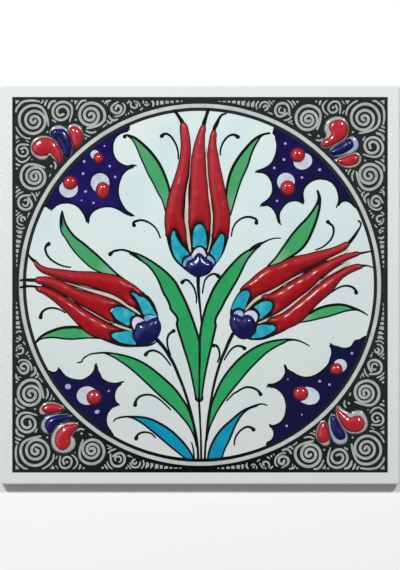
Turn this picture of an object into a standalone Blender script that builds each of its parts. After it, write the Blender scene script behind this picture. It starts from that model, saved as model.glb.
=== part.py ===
"""A square hand-painted ceramic wall tile: one fired slab with a flat back, and on its face the
enamel that stands in relief: three tulips of three petals and a heart each, a group of three
commas in each corner, and berries. Metres, +Z up, the tile lies on its back, and the top of the
picture points to +Y. The origin is the middle of the back."""

import math

import bmesh
import bpy
from mathutils import Vector

MM = 0.001
SIDE = 200 * MM
THICKNESS = 7 * MM
EDGE_ROUNDING = 1.0 * MM
EDGE_SEGMENTS = 3

PETAL_RISE = 2.0 * MM
HEART_RISE = 2.3 * MM
COMMA_RISE = 2.2 * MM
BERRY_RISE = 2.3 * MM

# The enamel's widest line lies this far below the slab's face, so that the two overlap.
SUNK = 0.1 * MM
# A sepal's bed is cut out of a petal's foot up to this height over the petal's middle plane.
BED_RISE = 6 * MM
SIDES_OF_A_STROKE = 3
STEPS_PER_POINT = 2
HEAD_ANGLES = (15, 45, 70)
ROUND_SIDES = 20
ROUND_RINGS = 10
MERGED = 0.00001

# Each stroke of enamel is its middle line, as x, y and half width in mm from the tile's middle.
PETALS = {
    "top_left": [
        (-8.5, 81.5, 0.3), (-7.9, 78, 1.9), (-7.2, 70, 2.3), (-8.2, 60, 2.6), (-10.5, 50, 3.4),
        (-12.6, 40, 4.0), (-12.8, 32, 4.6), (-12.0, 26, 5.0), (-11.6, 21.5, 4.9),
    ],
    "top_middle": [
        (1.9, 80.5, 0.3), (1.5, 78.5, 1.2), (0.5, 75, 1.7), (-0.3, 70, 2.5), (-1.0, 60, 3.5),
        (-0.6, 50, 4.2), (-0.4, 40, 5.0), (-0.2, 33, 5.4), (-0.2, 26.5, 5.1),
    ],
    "top_right": [
        (7.0, 77.3, 0.3), (6.6, 74, 1.4), (6.2, 70, 1.8), (6.9, 60, 2.9), (8.4, 50, 3.6),
        (10.2, 40, 3.8), (10.8, 32, 3.9), (10.4, 26, 3.9), (9.9, 22.5, 3.7),
    ],
    "left_upper": [
        (-82.9, 12, 0.3), (-79, 7.7, 1.7), (-70, 5.2, 2.3), (-60, 3.6, 3.0), (-50, 1.9, 4.0),
        (-43, -0.2, 4.7), (-37.5, -2.8, 4.7), (-31.2, -7.4, 4.1),
    ],
    "left_middle": [
        (-82.5, 2.2, 0.4), (-79, 2, 1.8), (-72, -0.1, 2.6), (-64, -4.1, 2.9), (-58, -7.2, 3.5),
        (-50, -10.4, 4.7), (-46, -12.4, 5.0), (-42, -14.5, 4.8),
    ],
    "left_lower": [
        (-81.5, -1, 0.3), (-78, -2.6, 1.0), (-70, -7.5, 1.9), (-63, -13.3, 3.1),
        (-56.5, -18.9, 4.4), (-51.5, -21.8, 4.5), (-43.2, -24.9, 3.7),
    ],
    "right_upper": [
        (74.5, 21, 0.4), (71.3, 18.7, 1.6), (63.5, 15.4, 2.3), (56, 12.8, 3.2), (48, 10, 4.2),
        (40, 5.7, 4.9), (32.2, 2, 5.2), (23.8, -4, 4.2),
    ],
    "right_middle": [
        (80, 15.5, 0.4), (77, 14.9, 1.2), (69, 12, 1.9), (61.2, 7.2, 2.8), (55.5, 3, 3.6),
        (48, -2.2, 4.3), (40, -7.7, 4.7), (33.8, -10.8, 4.4),
    ],
    "right_lower": [
        (81, 9.2, 0.5), (77.5, 8.5, 1.5), (70.7, 5.1, 1.8), (63.5, -1, 3.4), (58.5, -5.2, 3.6),
        (52, -11.3, 4.1), (45.7, -16.2, 4.1), (37.2, -21, 3.9),
    ],
}

# The beds of the sepals, which fork the feet of the petals of the same names.
SEPAL_BEDS = {
    "top_left": [(-13, 27.9, 0.4), (-12.9, 25, 1.6), (-11.9, 20, 3.0), (-9.6, 14, 3.8)],
    "top_middle": [(0, 31, 0.5), (-0.1, 28.5, 2.7), (-0.2, 24, 4.1), (-0.2, 17, 4.3)],
    "top_right": [(11, 26.3, 0.4), (10.6, 23.5, 1.6), (9.2, 19, 3.0), (7.8, 14, 3.0)],
    "left_upper": [(-34.9, -3.9, 0.4), (-32.6, -5.4, 1.4), (-29.5, -8.6, 2.7), (-25, -13.5, 3.6)],
    "left_middle": [(-45, -13.1, 0.6), (-43.4, -13.5, 2.4), (-40, -15, 4.2), (-35, -17, 4.4)],
    "left_lower": [(-45.2, -25.5, 0.5), (-43, -25.6, 2.0), (-39, -26.2, 3.2), (-34, -26.6, 3.6)],
    "right_upper": [(24.3, -2.1, 0.6), (23.1, -4, 2.1), (21, -8, 3.3), (19, -13, 3.6)],
    "right_middle": [(37.1, -10.2, 0.6), (35.4, -10.9, 2.6), (32, -13, 4.0), (28, -15.5, 3.8)],
    "right_lower": [(38.8, -21.6, 0.5), (36.6, -21.8, 2.0), (32, -22.9, 3.4), (27, -24.2, 3.6)],
}

# The top tulip's heart is a stroke down the tulip's axis, and the side tulips' are ovals.
TOP_HEART = [
    (-0.3, 15.9, 0.3), (-0.3, 14.6, 1.9), (-0.2, 12.4, 4.8), (0, 10, 7.0), (-0.2, 7.6, 6.3),
    (-0.5, 5.6, 4.1), (-0.6, 4.3, 1.0),
]
SIDE_HEARTS = {"left": (-26.4, -23.2, 7.0, 6.6), "right": (21.3, -20.9, 6.5, 6.4)}

COMMAS = {
    "top_left_outer": [
        (-80.3, 69, 4.6), (-77, 69.6, 4.2), (-74, 68.2, 3.2), (-71.8, 65.5, 2.2),
        (-70.3, 62.5, 1.5), (-70.3, 60.8, 0.6),
    ],
    "top_left_middle": [
        (-71, 76, 3.0), (-69, 74, 3.0), (-67.5, 71, 2.6), (-66.8, 67.5, 1.9), (-67, 64, 0.9),
    ],
    "top_left_inner": [
        (-62.8, 77.3, 2.7), (-62, 74.5, 2.8), (-61.3, 71.5, 2.1), (-61.5, 69, 1.2),
        (-61.7, 67.8, 0.5),
    ],
    "top_right_outer": [
        (69.2, 79, 4.2), (69.1, 77, 4.3), (68, 74, 3.8), (66, 71.8, 2.7), (63.6, 70.4, 1.8),
        (61.2, 69.8, 0.8),
    ],
    "top_right_middle": [
        (74, 70.5, 3.0), (71.5, 69, 3.0), (68.5, 67.2, 2.2), (66, 66, 1.2), (64.5, 65.7, 0.5),
    ],
    "top_right_inner": [
        (77.3, 62.7, 2.7), (74.5, 61.9, 2.6), (71.5, 61.5, 1.9), (69, 61.5, 1.0),
        (67.8, 61.8, 0.5),
    ],
    "bottom_left_inner": [
        (-76, -62, 2.6), (-73.5, -62.2, 2.5), (-71, -62.3, 1.9), (-69.2, -62.3, 1.1),
        (-68.2, -62.3, 0.5),
    ],
    "bottom_left_middle": [
        (-74.5, -70.5, 3.3), (-73, -68.2, 2.8), (-70, -66.7, 2.0), (-67, -66, 1.4),
        (-64.5, -65.7, 0.8),
    ],
    "bottom_left_outer": [
        (-68.8, -79.3, 3.9), (-68.5, -76.5, 4.0), (-67.3, -73.5, 3.2), (-65, -71.6, 2.2),
        (-62.8, -70.6, 1.2), (-61.2, -70.2, 0.6),
    ],
    "bottom_right_inner": [
        (61.3, -76, 2.9), (61.2, -73.5, 2.9), (61.5, -71, 2.2), (62, -69.3, 1.2),
        (62.2, -68.2, 0.6),
    ],
    "bottom_right_middle": [
        (70, -74.7, 2.9), (69, -72, 3.0), (67.8, -69.3, 2.4), (66.8, -67, 1.7),
        (66.2, -65.2, 0.8),
    ],
    "bottom_right_outer": [
        (78.3, -69.7, 4.1), (75.5, -70.3, 3.6), (73, -68.5, 2.8), (71, -65.5, 2.0),
        (69.8, -62.8, 1.3), (69.3, -60.8, 0.6),
    ],
}

# x, y and the two half widths of each berry, in mm.
BERRIES = [
    (-50.5, 63.2, 2.3, 2.7), (-65, 51, 3.3, 3.3), (-48.7, 47.2, 3.3, 4.0),
    (48.7, 65.1, 3.5, 3.5), (43.9, 48.4, 3.5, 3.6), (-53, -56.4, 3.6, 3.6),
    (50.4, -54.5, 3.6, 3.4), (68, -42.1, 3.0, 2.8),
]


def clear_scene():
    for obj in list(bpy.data.objects):
        bpy.data.objects.remove(obj, do_unlink=True)


def new_collection(name):
    collection = bpy.data.collections.new(name)
    bpy.context.scene.collection.children.link(collection)
    return collection


def move_to(obj, collection):
    for old in list(obj.users_collection):
        old.objects.unlink(obj)
    collection.objects.link(obj)


def hide_helper(obj):
    obj.hide_render = True
    obj.display_type = "WIRE"


def glazed_ceramic():
    """Tin-white glaze, glossy, as the tile's face mostly shows it."""
    material = bpy.data.materials.new("glazed_ceramic")
    material.use_nodes = True
    shader = material.node_tree.nodes["Principled BSDF"]
    shader.inputs["Base Color"].default_value = (0.72, 0.78, 0.79, 1)
    shader.inputs["Roughness"].default_value = 0.18
    shader.inputs["Metallic"].default_value = 0
    return material


def with_round_head(points):
    """The middle line lengthened past its first point by a quarter turn, which rounds the head."""
    x, y, radius = points[0]
    outward = (Vector((x, y)) - Vector(points[1][:2])).normalized()
    head = []
    for degrees in HEAD_ANGLES:
        angle = math.radians(degrees)
        place = Vector((x, y)) + outward * radius * math.cos(angle)
        head.append((place.x, place.y, radius * math.sin(angle)))
    return head + points


def stroke(name, points, rise, collection):
    """A closed tapering tube along the points, flattened so that it stands up by the rise."""
    curve = bpy.data.curves.new(name, "CURVE")
    curve.dimensions = "3D"
    curve.bevel_depth = MM
    curve.bevel_resolution = SIDES_OF_A_STROKE
    curve.resolution_u = STEPS_PER_POINT
    curve.use_fill_caps = True
    spline = curve.splines.new("BEZIER")
    spline.bezier_points.add(len(points) - 1)
    for knot, (x, y, radius) in zip(spline.bezier_points, points):
        knot.co = (x * MM, y * MM, 0)
        knot.radius = radius
        knot.handle_left_type = "AUTO"
        knot.handle_right_type = "AUTO"
    guide = bpy.data.objects.new(name + "_guide", curve)
    collection.objects.link(guide)
    bpy.context.view_layer.update()

    graph = bpy.context.evaluated_depsgraph_get()
    mesh = bpy.data.meshes.new_from_object(guide.evaluated_get(graph))
    bpy.data.objects.remove(guide, do_unlink=True)
    widest = max(radius for x, y, radius in points) * MM
    surface = bmesh.new()
    surface.from_mesh(mesh)
    bmesh.ops.remove_doubles(surface, verts=surface.verts, dist=MERGED)
    bmesh.ops.scale(surface, verts=surface.verts, vec=(1, 1, (rise + SUNK) / widest))
    bmesh.ops.recalc_face_normals(surface, faces=surface.faces)
    surface.to_mesh(mesh)
    surface.free()
    body = bpy.data.objects.new(name, mesh)
    body.location.z = THICKNESS - SUNK
    collection.objects.link(body)
    hide_helper(body)
    return body


def oval_dome(name, place, half_widths, rise, collection):
    """A flattened sphere whose widest line lies just below the slab's face."""
    bpy.ops.mesh.primitive_uv_sphere_add(segments=ROUND_SIDES, ring_count=ROUND_RINGS, radius=1)
    body = bpy.context.object
    body.name = name
    body.data.name = name
    body.scale = (half_widths[0] * MM, half_widths[1] * MM, rise + SUNK)
    bpy.ops.object.transform_apply(location=False, rotation=False, scale=True)
    body.location = (place[0] * MM, place[1] * MM, THICKNESS - SUNK)
    move_to(body, collection)
    hide_helper(body)


def petals(enamel, beds):
    for name, points in PETALS.items():
        petal = stroke("petal_" + name, points, PETAL_RISE, enamel)
        bed = stroke("sepal_bed_" + name, SEPAL_BEDS[name], BED_RISE, beds)
        fork = petal.modifiers.new("sepal_bed", "BOOLEAN")
        fork.operation = "DIFFERENCE"
        fork.solver = "EXACT"
        fork.object = bed


def hearts(enamel):
    stroke("heart_top", TOP_HEART, HEART_RISE, enamel)
    for name, (x, y, half_width, half_height) in SIDE_HEARTS.items():
        oval_dome("heart_" + name, (x, y), (half_width, half_height), HEART_RISE, enamel)


def commas(enamel):
    for name, points in COMMAS.items():
        stroke("comma_" + name, with_round_head(points), COMMA_RISE, enamel)


def berries(enamel):
    for number, (x, y, half_width, half_height) in enumerate(BERRIES, start=1):
        name = "berry_" + str(number)
        oval_dome(name, (x, y), (half_width, half_height), BERRY_RISE, enamel)


def tile(enamel, collection):
    """The fired slab, its edges softened by the glaze, with the enamel fused to its face."""
    bpy.ops.mesh.primitive_cube_add(size=1)
    slab = bpy.context.object
    slab.name = "tile"
    slab.data.name = "tile"
    slab.scale = (SIDE, SIDE, THICKNESS)
    bpy.ops.object.transform_apply(location=False, rotation=False, scale=True)
    slab.location.z = THICKNESS / 2
    rounding = slab.modifiers.new("edges", "BEVEL")
    rounding.width = EDGE_ROUNDING
    rounding.segments = EDGE_SEGMENTS
    fused = slab.modifiers.new("enamel", "BOOLEAN")
    fused.operation = "UNION"
    fused.solver = "EXACT"
    fused.operand_type = "COLLECTION"
    fused.collection = enamel
    slab.data.materials.append(glazed_ceramic())
    move_to(slab, collection)


def main():
    clear_scene()
    stock = new_collection("hand_painted_ceramic_tile")
    enamel = new_collection("enamel_relief")
    beds = new_collection("sepal_beds")
    petals(enamel, beds)
    hearts(enamel)
    commas(enamel)
    berries(enamel)
    tile(enamel, stock)


main()
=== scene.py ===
"""A square hand-painted ceramic tile: a biscuit body under a white glaze, a bouquet of three tulips
with their leaves in a round medallion, a black border of drawn spirals, and red and blue enamel
that stands in low relief. The tile lies on its back and the camera looks down on its face."""

import math

import bpy
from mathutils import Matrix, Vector, noise
from mathutils.kdtree import KDTree


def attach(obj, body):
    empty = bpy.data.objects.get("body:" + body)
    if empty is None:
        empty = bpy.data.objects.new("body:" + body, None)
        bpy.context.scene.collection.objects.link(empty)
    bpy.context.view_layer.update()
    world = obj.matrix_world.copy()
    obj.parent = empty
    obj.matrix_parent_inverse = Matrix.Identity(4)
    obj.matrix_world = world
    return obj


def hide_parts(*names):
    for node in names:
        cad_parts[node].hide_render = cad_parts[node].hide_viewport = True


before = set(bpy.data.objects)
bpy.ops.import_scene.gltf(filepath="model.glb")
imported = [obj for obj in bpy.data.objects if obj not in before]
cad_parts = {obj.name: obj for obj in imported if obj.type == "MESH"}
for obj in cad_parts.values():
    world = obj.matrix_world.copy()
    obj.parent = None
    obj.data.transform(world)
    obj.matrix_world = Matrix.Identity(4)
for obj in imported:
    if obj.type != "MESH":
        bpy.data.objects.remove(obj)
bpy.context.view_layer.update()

# A millimetre in metres, and in mm the tile's side and the height of its glazed face.
MM = 0.001
SIDE = 200
FACE = 7.0

# The biscuit slab ends a little inside the coat of glaze. The glaze wraps the upper edges and runs
# down the sides to GLAZE_BOTTOM. Widths, heights and edge roundings are in mm. Its faces look
# smooth across an edge that turns by less than SMOOTH_ANGLE, in degrees.
BISCUIT_SIDE = 199.5
BISCUIT_TOP = 6.4
BISCUIT_EDGE = 0.7
BISCUIT_EDGE_STEPS = 3
GLAZE_BOTTOM = 2.6
GLAZE_EDGE = 1.0
GLAZE_EDGE_STEPS = 5
SMOOTH_ANGLE = 30

# How far, in mm, each painted layer stands over the glazed face. Each one is rooted in the glaze
# to the depth ROOT, so nothing floats.
COLOUR_LEVEL = 0.024
GROUND_LEVEL = 0.034
GAP_LEVEL = 0.04
PALE_LEVEL = 0.046
INK_LEVEL = 0.05
TOP_INK_LEVEL = 0.055
ROOT = 0.3

# The painted square, its round window and the pale ring around the window, in mm. The cobalt
# fields run out under the square, to FIELD_RADIUS.
GROUND_HALF = 94
WINDOW_RADIUS = 87
FIELD_RADIUS = 87.5
RING_RADII = (88.7, 90.6)

# How many straight steps make the stretch between two points of a line or an outline.
LINE_STEPS = 4
SPIRAL_STEPS = 8
OUTLINE_STEPS = 5
POOL_STEPS = 14

# How many points draw a full ring, an oval, a slip dot, a border dot and a field's rim.
RING_POINTS = 48
OVAL_POINTS = 12
SLIP_DOT_POINTS = 8
BORDER_DOT_POINTS = 6
FIELD_RIM_POINTS = 10

# How high the enamel stands over the face, in mm, and how far in from its rim, in mm, it has made
# most of its climb.
PETAL_RISE = 2.0
PETAL_SOFTNESS = 1.5
HEART_RISE = 2.3
HEART_SOFTNESS = 2.2
COMMA_RISE = 2.2
COMMA_SOFTNESS = 1.6
BERRY_RISE = 2.3
BERRY_SOFTNESS = 1.5
HALO_RISE = 0.7
HALO_SOFTNESS = 0.9

# The hollow at an enamel's rim is this wide, and a comma's rim is a wall this high, in mm.
MENISCUS = 0.45
COMMA_FOOT = 0.5

# The enamel's mesh: its grid in mm, the height over the middle plane under which a point belongs
# to the underside, and how often and how strongly a ridge or a dome is smoothed.
VOXEL = 0.22
UNDERSIDE = VOXEL / 3
RIDGE_PASSES = 26
DOME_PASSES = 90
SMOOTHING = 0.5

# Hand-laid enamel is higher here and lower there by this share, over lumps of this size in mm.
LUMPS = 0.14
LUMP_SIZE = 4.0

# Points closer than this, in metres, are one. A point this near to a line's middle plane, in mm,
# lies on it.
MERGED = 0.000001
ON_PLANE = 0.01

# Glaze bends light as window glass does, and the lead glass over the enamel bends it more.
GLAZE_IOR = 1.5
COAT_IOR = 1.7

# Where the shades of a surface start and how far they spread, as shares of its noise from 0 to 1,
# and how fine the noise is.
FIRST_SHADE = 0.3
SHADE_SPREAD = 0.4
DRIFT_DETAIL = 3.0
DRIFT_ROUGHNESS = 0.55

# A brush line's rounded end passes through these angles, in degrees. A tapered line keeps the
# width that it has this share of the way in from its ends.
ROUND_END_ANGLES = (20, 55)
TAPER_END = 0.06

# The leaves' two edges: the half width of the ink line, and its points from the tip to the foot,
# in mm from the tile's middle. Every ink line narrows at its ends towards LEAF_LINE_END.
LEAVES = {
    "leaf_top_left": [
        (0.75, [(-36, 74.7), (-34, 74.2), (-32.4, 73.4), (-28, 69.8), (-25, 66.8), (-22, 63),
               (-19.6, 59.1), (-17.1, 53.4), (-15.5, 48.3), (-14.6, 43)]),
        (0.4, [(-36, 74.3), (-34.4, 73.2), (-33.3, 71.8), (-31.3, 67.8), (-29.8, 64), (-28, 60),
               (-26, 55.5), (-23.5, 51), (-20.5, 45), (-19.1, 42.7), (-17.4, 37)]),
    ],
    "leaf_top_right": [
        (0.75, [(34.8, 75.9), (31.5, 75.2), (27.9, 73.3), (23.8, 69.3), (19.7, 64.2),
               (16.1, 58.1), (14.1, 51.9), (13.3, 47), (12.8, 42)]),
        (0.5, [(34.8, 75.7), (33, 75.6), (30.5, 74.3), (29, 72), (27.5, 69.5), (25.8, 65.7),
               (24, 60), (22.5, 56.5), (20.7, 52.4), (17.7, 43.2), (15.3, 35)]),
    ],
    "leaf_upper_left": [
        (0.4, [(-69.1, 36.8), (-69.8, 34), (-70, 31), (-69.9, 29), (-69.2, 26), (-67.5, 23.5),
               (-65, 19.5), (-62.5, 16.2), (-60, 13.5), (-57, 10.6), (-54, 8.2), (-51, 6.7), (-47, 5)]),
        (0.6, [(-68.9, 36.4), (-68.2, 33.4), (-67.2, 30.4), (-65.6, 27.6), (-63.6, 25), (-61, 22.6),
               (-58.5, 20.8), (-55, 17.8), (-51.5, 14.8), (-48, 11.5), (-45, 8.6), (-42, 5.8), (-39, 3.4)]),
    ],
    "leaf_upper_right": [
        (0.6, [(58.7, 47.1), (59.3, 44), (58.8, 41.5), (57.5, 38.8), (55.5, 35.8), (53, 32.7),
               (50, 29.7), (48, 27.4), (46, 25), (43, 20.8), (40, 16.5), (38, 13.7), (34, 9.5)]),
        (0.7, [(59, 46.8), (60, 44.2), (60.1, 41), (59.5, 37), (58.2, 32.2), (56.5, 27.7),
               (54.4, 23), (52.4, 19.8), (50.4, 17.6), (48, 15.7), (45, 13.8), (38, 9.5)]),
    ],
    "leaf_middle_left": [
        (0.65, [(-35, 16.5), (-30, 14.9), (-25, 12.2), (-20, 8.8), (-15, 4.4), (-12, 0.8),
               (-10.5, -2), (-9, -5), (-7.5, -8), (-6, -11.5), (-4.8, -14.5), (-3.5, -18), (-2.3, -21.5),
               (-1.2, -25), (-0.5, -28), (-0.2, -34), (-0.3, -45), (-0.4, -57.5)]),
        (0.6, [(-35, 15.6), (-30, 12.5), (-26, 9.5), (-23, 6), (-20.5, 1.5), (-18.3, -4),
               (-16.5, -7), (-15.2, -10), (-14.7, -12), (-13.5, -13.7), (-12, -15.5), (-11.2, -17.5),
               (-11.6, -19.2), (-11.2, -21.5), (-10.5, -24), (-9.5, -27), (-8.3, -31), (-7, -35),
               (-5.5, -40), (-4.3, -45), (-3.3, -50), (-2.5, -54), (-2.1, -57.5)]),
    ],
    "leaf_middle_right": [
        (0.65, [(27, 18.8), (26, 18.2), (23, 16.5), (20, 14.3), (17, 11.3), (14, 8), (12, 5.5),
               (10, 3), (8, 0), (6.3, -3), (4.8, -6.5), (3.4, -10), (2.2, -14), (1.2, -18), (0.5, -22),
               (0, -26), (-0.2, -30), (-0.3, -45), (-0.4, -57.5)]),
        (0.6, [(30, 19.5), (28, 17.8), (25.5, 15), (23, 11.5), (21.3, 8), (20, 5.3), (18.3, 2),
               (16.5, -1), (14.5, -4.5), (12.5, -8), (10.5, -12), (9, -14.5), (8, -16.5), (7.6, -18.5),
               (7.9, -20.5), (7.5, -22.5), (6.7, -26), (5.8, -30), (4.6, -35), (3.5, -40), (2.5, -45),
               (1.7, -50), (1.2, -54), (0.9, -57.5)]),
    ],
    "leaf_lower_left": [
        (0.6, [(-48, -34), (-44, -34.3), (-40, -35), (-35, -36.3), (-30, -38.3), (-25, -41.3),
               (-20, -45.3), (-16, -48.8), (-12.3, -52.5), (-9, -57), (-7, -60), (-5.5, -63), (-4.2, -66.8),
               (-3.3, -70), (-2.8, -73.5), (-1.9, -80)]),
        (0.5, [(-48, -34.1), (-44, -35.8), (-40, -38.2), (-36, -41), (-32, -44.3), (-28, -48),
               (-24, -51.8), (-20, -55.6), (-15.5, -59.6), (-11, -64), (-8, -67.5), (-6, -70), (-4.3, -73),
               (-2.8, -76.5), (-1.7, -81)]),
    ],
    "leaf_lower_right": [
        (0.6, [(47.5, -27.5), (44, -27.3), (40, -27.6), (35, -28.5), (30, -30.2), (25, -33),
               (20, -36.8), (16, -41), (12.5, -45.5), (9.8, -50), (7.8, -54.5), (6.2, -58.5), (5.2, -62.5),
               (4.5, -67), (4, -71), (3.7, -74)]),
        (0.5, [(47.5, -27.6), (44, -28), (42, -29), (38, -31), (34, -33.5), (30, -37), (26, -41),
               (23, -44.3), (20, -48), (17, -51.5), (14, -55.3), (11, -59.5), (8.5, -63.5), (6.5, -67.5),
               (5, -71), (4, -74.5), (3.4, -78)]),
    ],
    "leaf_small_left": [
        (0.75, [(-82.2, -29), (-80.5, -26.8), (-78.5, -25.2), (-75, -23.5), (-70, -21.8),
               (-65, -21.2), (-60, -21.5), (-57, -22.5), (-53, -25), (-49, -27)]),
        (0.45, [(-82.2, -29), (-80, -27.3), (-77, -26.6), (-73, -26.4), (-69, -26.9),
               (-64, -27.2), (-60, -26.9), (-55, -26.6), (-48, -27)]),
    ],
    "leaf_small_right": [
        (0.7, [(80, -12.8), (78, -12), (74, -10.6), (70, -9.9), (66, -10.2), (62, -11),
               (58, -12.5), (55, -14.3), (49, -15)]),
        (0.45, [(80, -12.9), (78, -12.6), (74, -12.9), (70, -14), (65, -15.6), (60, -16.8),
               (55, -18), (48.5, -19)]),
    ],
    "blue_leaf_left": [
        (0.6, [(-38, -66.1), (-35, -66), (-30, -66.2), (-25, -67.2), (-20, -69.5), (-15, -72.7),
               (-10.5, -76.7), (-7.5, -80), (-5, -83.5), (-3, -87.4)]),
        (0.5, [(-36, -66.2), (-34, -66.6), (-32, -67.5), (-28, -70), (-24, -73.2), (-20, -76.5),
               (-15, -80.8), (-11, -84), (-7, -87.2)]),
    ],
    "blue_leaf_right": [
        (0.6, [(29, -60), (26, -61), (22, -62.8), (18.5, -65.3), (15.5, -68), (12, -71),
               (9, -74.5), (6.8, -78), (5, -82), (4.2, -85), (3.8, -87.5)]),
        (0.5, [(29, -60.2), (28, -60.8), (25, -61.8), (21, -65), (19, -68), (17.2, -71.5),
               (15.8, -75), (14.3, -78.5), (12.3, -82.5), (10.8, -87.2)]),
    ],
}
LEAF_LINE_END = 0.35

# The green is thin and bluish at the leaves' tips, and thin and pale at their feet beside the
# petals: x, y, how far the tint reaches, within what distance it is full, and the tint.
LEAF_TINTS = (
    (-69, 37, 17, 4, "#4E917F"), (-35, 16, 14, 4, "#4F9380"), (28, 18.5, 13, 4, "#5C9478"),
    (-44, 6, 9, 2, "#79AC87"), (38, 11, 10, 2, "#79B287"), (16, 37, 12, 3, "#6BA57A"),
    (-17, 39, 10, 2, "#63A383"), (-48, -27, 12, 3, "#84BA8C"), (-82, -29, 9, 2, "#6FA98A"),
    (50, -17, 9, 2, "#79B287"),
)

# Drawn lines that no leaf edge gives: each point is x, y and the brush's half width, in mm.
STEMS = [
    [(-43, 17.1, 0.35), (-39, 17.4, 0.45), (-36, 16.8, 0.6), (-33.5, 15.6, 0.6), (-31, 13.8, 0.4),
     (-28, 11.3, 0.2)],
    [(-27.6, -5, 0.4), (-26.1, -6.3, 0.7), (-24.9, -8, 0.9), (-23.5, -10.3, 0.9),
     (-22.4, -12.7, 0.75), (-21.4, -15, 0.5)],
    [(-45.6, -27.6, 0.3), (-40.8, -29.2, 0.55), (-36, -30.3, 0.65), (-29.6, -30.5, 0.65),
     (-24, -29.8, 0.5), (-21.4, -28, 0.3)],
    [(-0.9, 4, 1.0), (-0.9, 0, 0.85), (-0.6, -5, 0.7), (-0.1, -10, 0.6), (0.4, -15, 0.5),
     (0.7, -19, 0.4)],
    [(-0.6, -57, 0.55), (-0.1, -65, 0.55), (0.1, -70, 0.5), (0.4, -75, 0.5), (0.5, -80, 0.55),
     (0.6, -87.8, 0.6)],
    [(-21.5, -27.5, 1.0), (-18, -31.5, 0.9), (-15.5, -35.5, 0.85), (-13, -40, 0.8),
     (-10.5, -46, 0.75), (-8.5, -51, 0.7), (-6.8, -56, 0.7), (-5.3, -61, 0.65), (-4, -66, 0.65),
     (-2.8, -71, 0.6), (-1.8, -76, 0.6), (-1.2, -81, 0.6), (-0.9, -87.8, 0.65)],
    [(16.5, -24.5, 0.9), (14.5, -28.5, 0.9), (12.8, -32.5, 0.8), (11, -36.5, 0.75),
     (9.5, -41, 0.7), (8, -46, 0.7), (6.8, -51, 0.65), (5.8, -56, 0.6), (5, -61, 0.6), (4.2, -66, 0.6),
     (3.6, -71, 0.55), (3.2, -76, 0.55), (2.7, -81, 0.55), (2.4, -87.8, 0.6)],
    [(-8.6, 8.6, 0.25), (-8.9, 11, 0.35), (-7.8, 13.3, 0.4), (-6, 14.5, 0.4), (-4.4, 14.7, 0.3)],
    [(7.4, 9.6, 0.25), (7.6, 11.7, 0.35), (6.9, 13.5, 0.4), (5.5, 14.7, 0.4), (4, 15, 0.3)],
    [(-2.2, -56.2, 0.5), (-1.4, -57.6, 0.8), (-0.4, -58, 0.8), (0.9, -57.4, 0.7),
     (1.3, -56.2, 0.5)],
    [(-4.2, -79, 0.3), (-3.4, -82, 0.4), (-2.9, -87.6, 0.5)],
]

# The curls' middle lines, each from its bulb to its fine end, and their half widths in mm.
CURL_BULB = 1.05
CURL_NECK = 0.68
CURL_END = 0.38
CURLS = [
    [(-19.2, 74.4), (-17.5, 75.6), (-15, 74.6), (-13, 72), (-11.6, 69), (-10.9, 66), (-10.9, 63)],
    [(19, 74), (17, 75.1), (14.5, 74.5), (12.2, 72.2), (10.8, 69.5), (10.2, 67), (10.2, 65)],
    [(-75.7, 20.5), (-77.3, 18.8), (-77, 16), (-75.5, 13.5), (-73, 11.5), (-70, 9.9), (-67, 9),
     (-64.8, 8.8)],
    [(-79.8, -16.3), (-79.2, -14), (-77, -12.2), (-74.5, -11.6), (-71.5, -12), (-69, -13),
     (-67.6, -14)],
    [(78.2, -4), (77.6, -2.4), (75.5, -0.9), (73, -0.5), (70, -1.2), (67.5, -2.6), (65.5, -4)],
    [(64, 31.5), (65, 30.6), (66.3, 29.5), (66.9, 27.8), (66.7, 25.5), (65.7, 23), (64, 21),
     (61, 18.7), (58, 17.5)],
    [(-27.2, -35), (-26, -33.6), (-24, -32.9), (-22, -33.2), (-20, -34.2), (-18, -36),
     (-16.3, -38), (-14.8, -40.3)],
    [(-13.2, -23.1), (-14.3, -23.8), (-15.8, -25.3), (-16.4, -27.5), (-16.3, -30),
     (-15.7, -32.5), (-14.8, -35)],
    [(6.8, -30.5), (7.8, -30.3), (9, -31.5), (9.7, -33.5), (9.8, -35.5), (9.3, -37.5),
     (8.7, -38.7)],
    [(22.3, -31.8), (21, -31), (19.5, -30.6), (17.5, -31), (15.5, -32.5), (13.8, -34.8),
     (12.2, -37.5)],
    [(-32.5, -60.2), (-32, -58), (-30.5, -56.2), (-28.5, -55.3), (-26, -55), (-23, -55.7),
     (-20.5, -57.2), (-18, -59.3), (-14.8, -62.5)],
    [(30.3, -54.8), (29.5, -53.5), (28, -52.3), (25.5, -51.4), (23, -51.3), (20.5, -52.3),
     (18.5, -53.6), (17, -54.4), (15.3, -56), (13.5, -58)],
    [(-32, -77), (-31.2, -75.2), (-29.5, -74.1), (-27, -73.8), (-24.5, -74.5), (-22.3, -76.5)],
    [(26.8, -72.5), (25.5, -71.5), (23.8, -71.1), (21.5, -72), (19.5, -73.7), (18, -76),
     (17.3, -78.2), (17.2, -80.2)],
    [(-8.9, 1.2), (-7.8, 2.2), (-6.3, 2.3), (-4.8, 1), (-3.3, -1), (-2.3, -3.5), (-1.8, -6),
     (-1.8, -9)],
    [(9.2, 4.3), (8, 5.2), (6.5, 5.4), (4.5, 4.5), (2.8, 2.8), (1.9, 0), (1.2, -4.2)],
    [(-33, 29.8), (-33.3, 31), (-31.5, 32), (-29, 32.3), (-27, 31.8), (-25, 30.8),
     (-23, 29.2), (-21.5, 27.3), (-20.5, 25.2), (-19.9, 23.5)],
    [(28.2, 31), (28.2, 32.5), (27, 33.3), (25, 33.9), (23, 33.9), (20.5, 33), (18.3, 31.3),
     (16.8, 29), (16, 26.5), (15.7, 24.3)],
    [(-45, 15.3), (-43.5, 16.6), (-41, 17.3), (-39.5, 17.5), (-37, 17.2), (-34.5, 16.2)],
    [(-37.7, 74.2), (-37, 74.8), (-35.5, 74.8), (-34, 74.3)],
]

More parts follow.
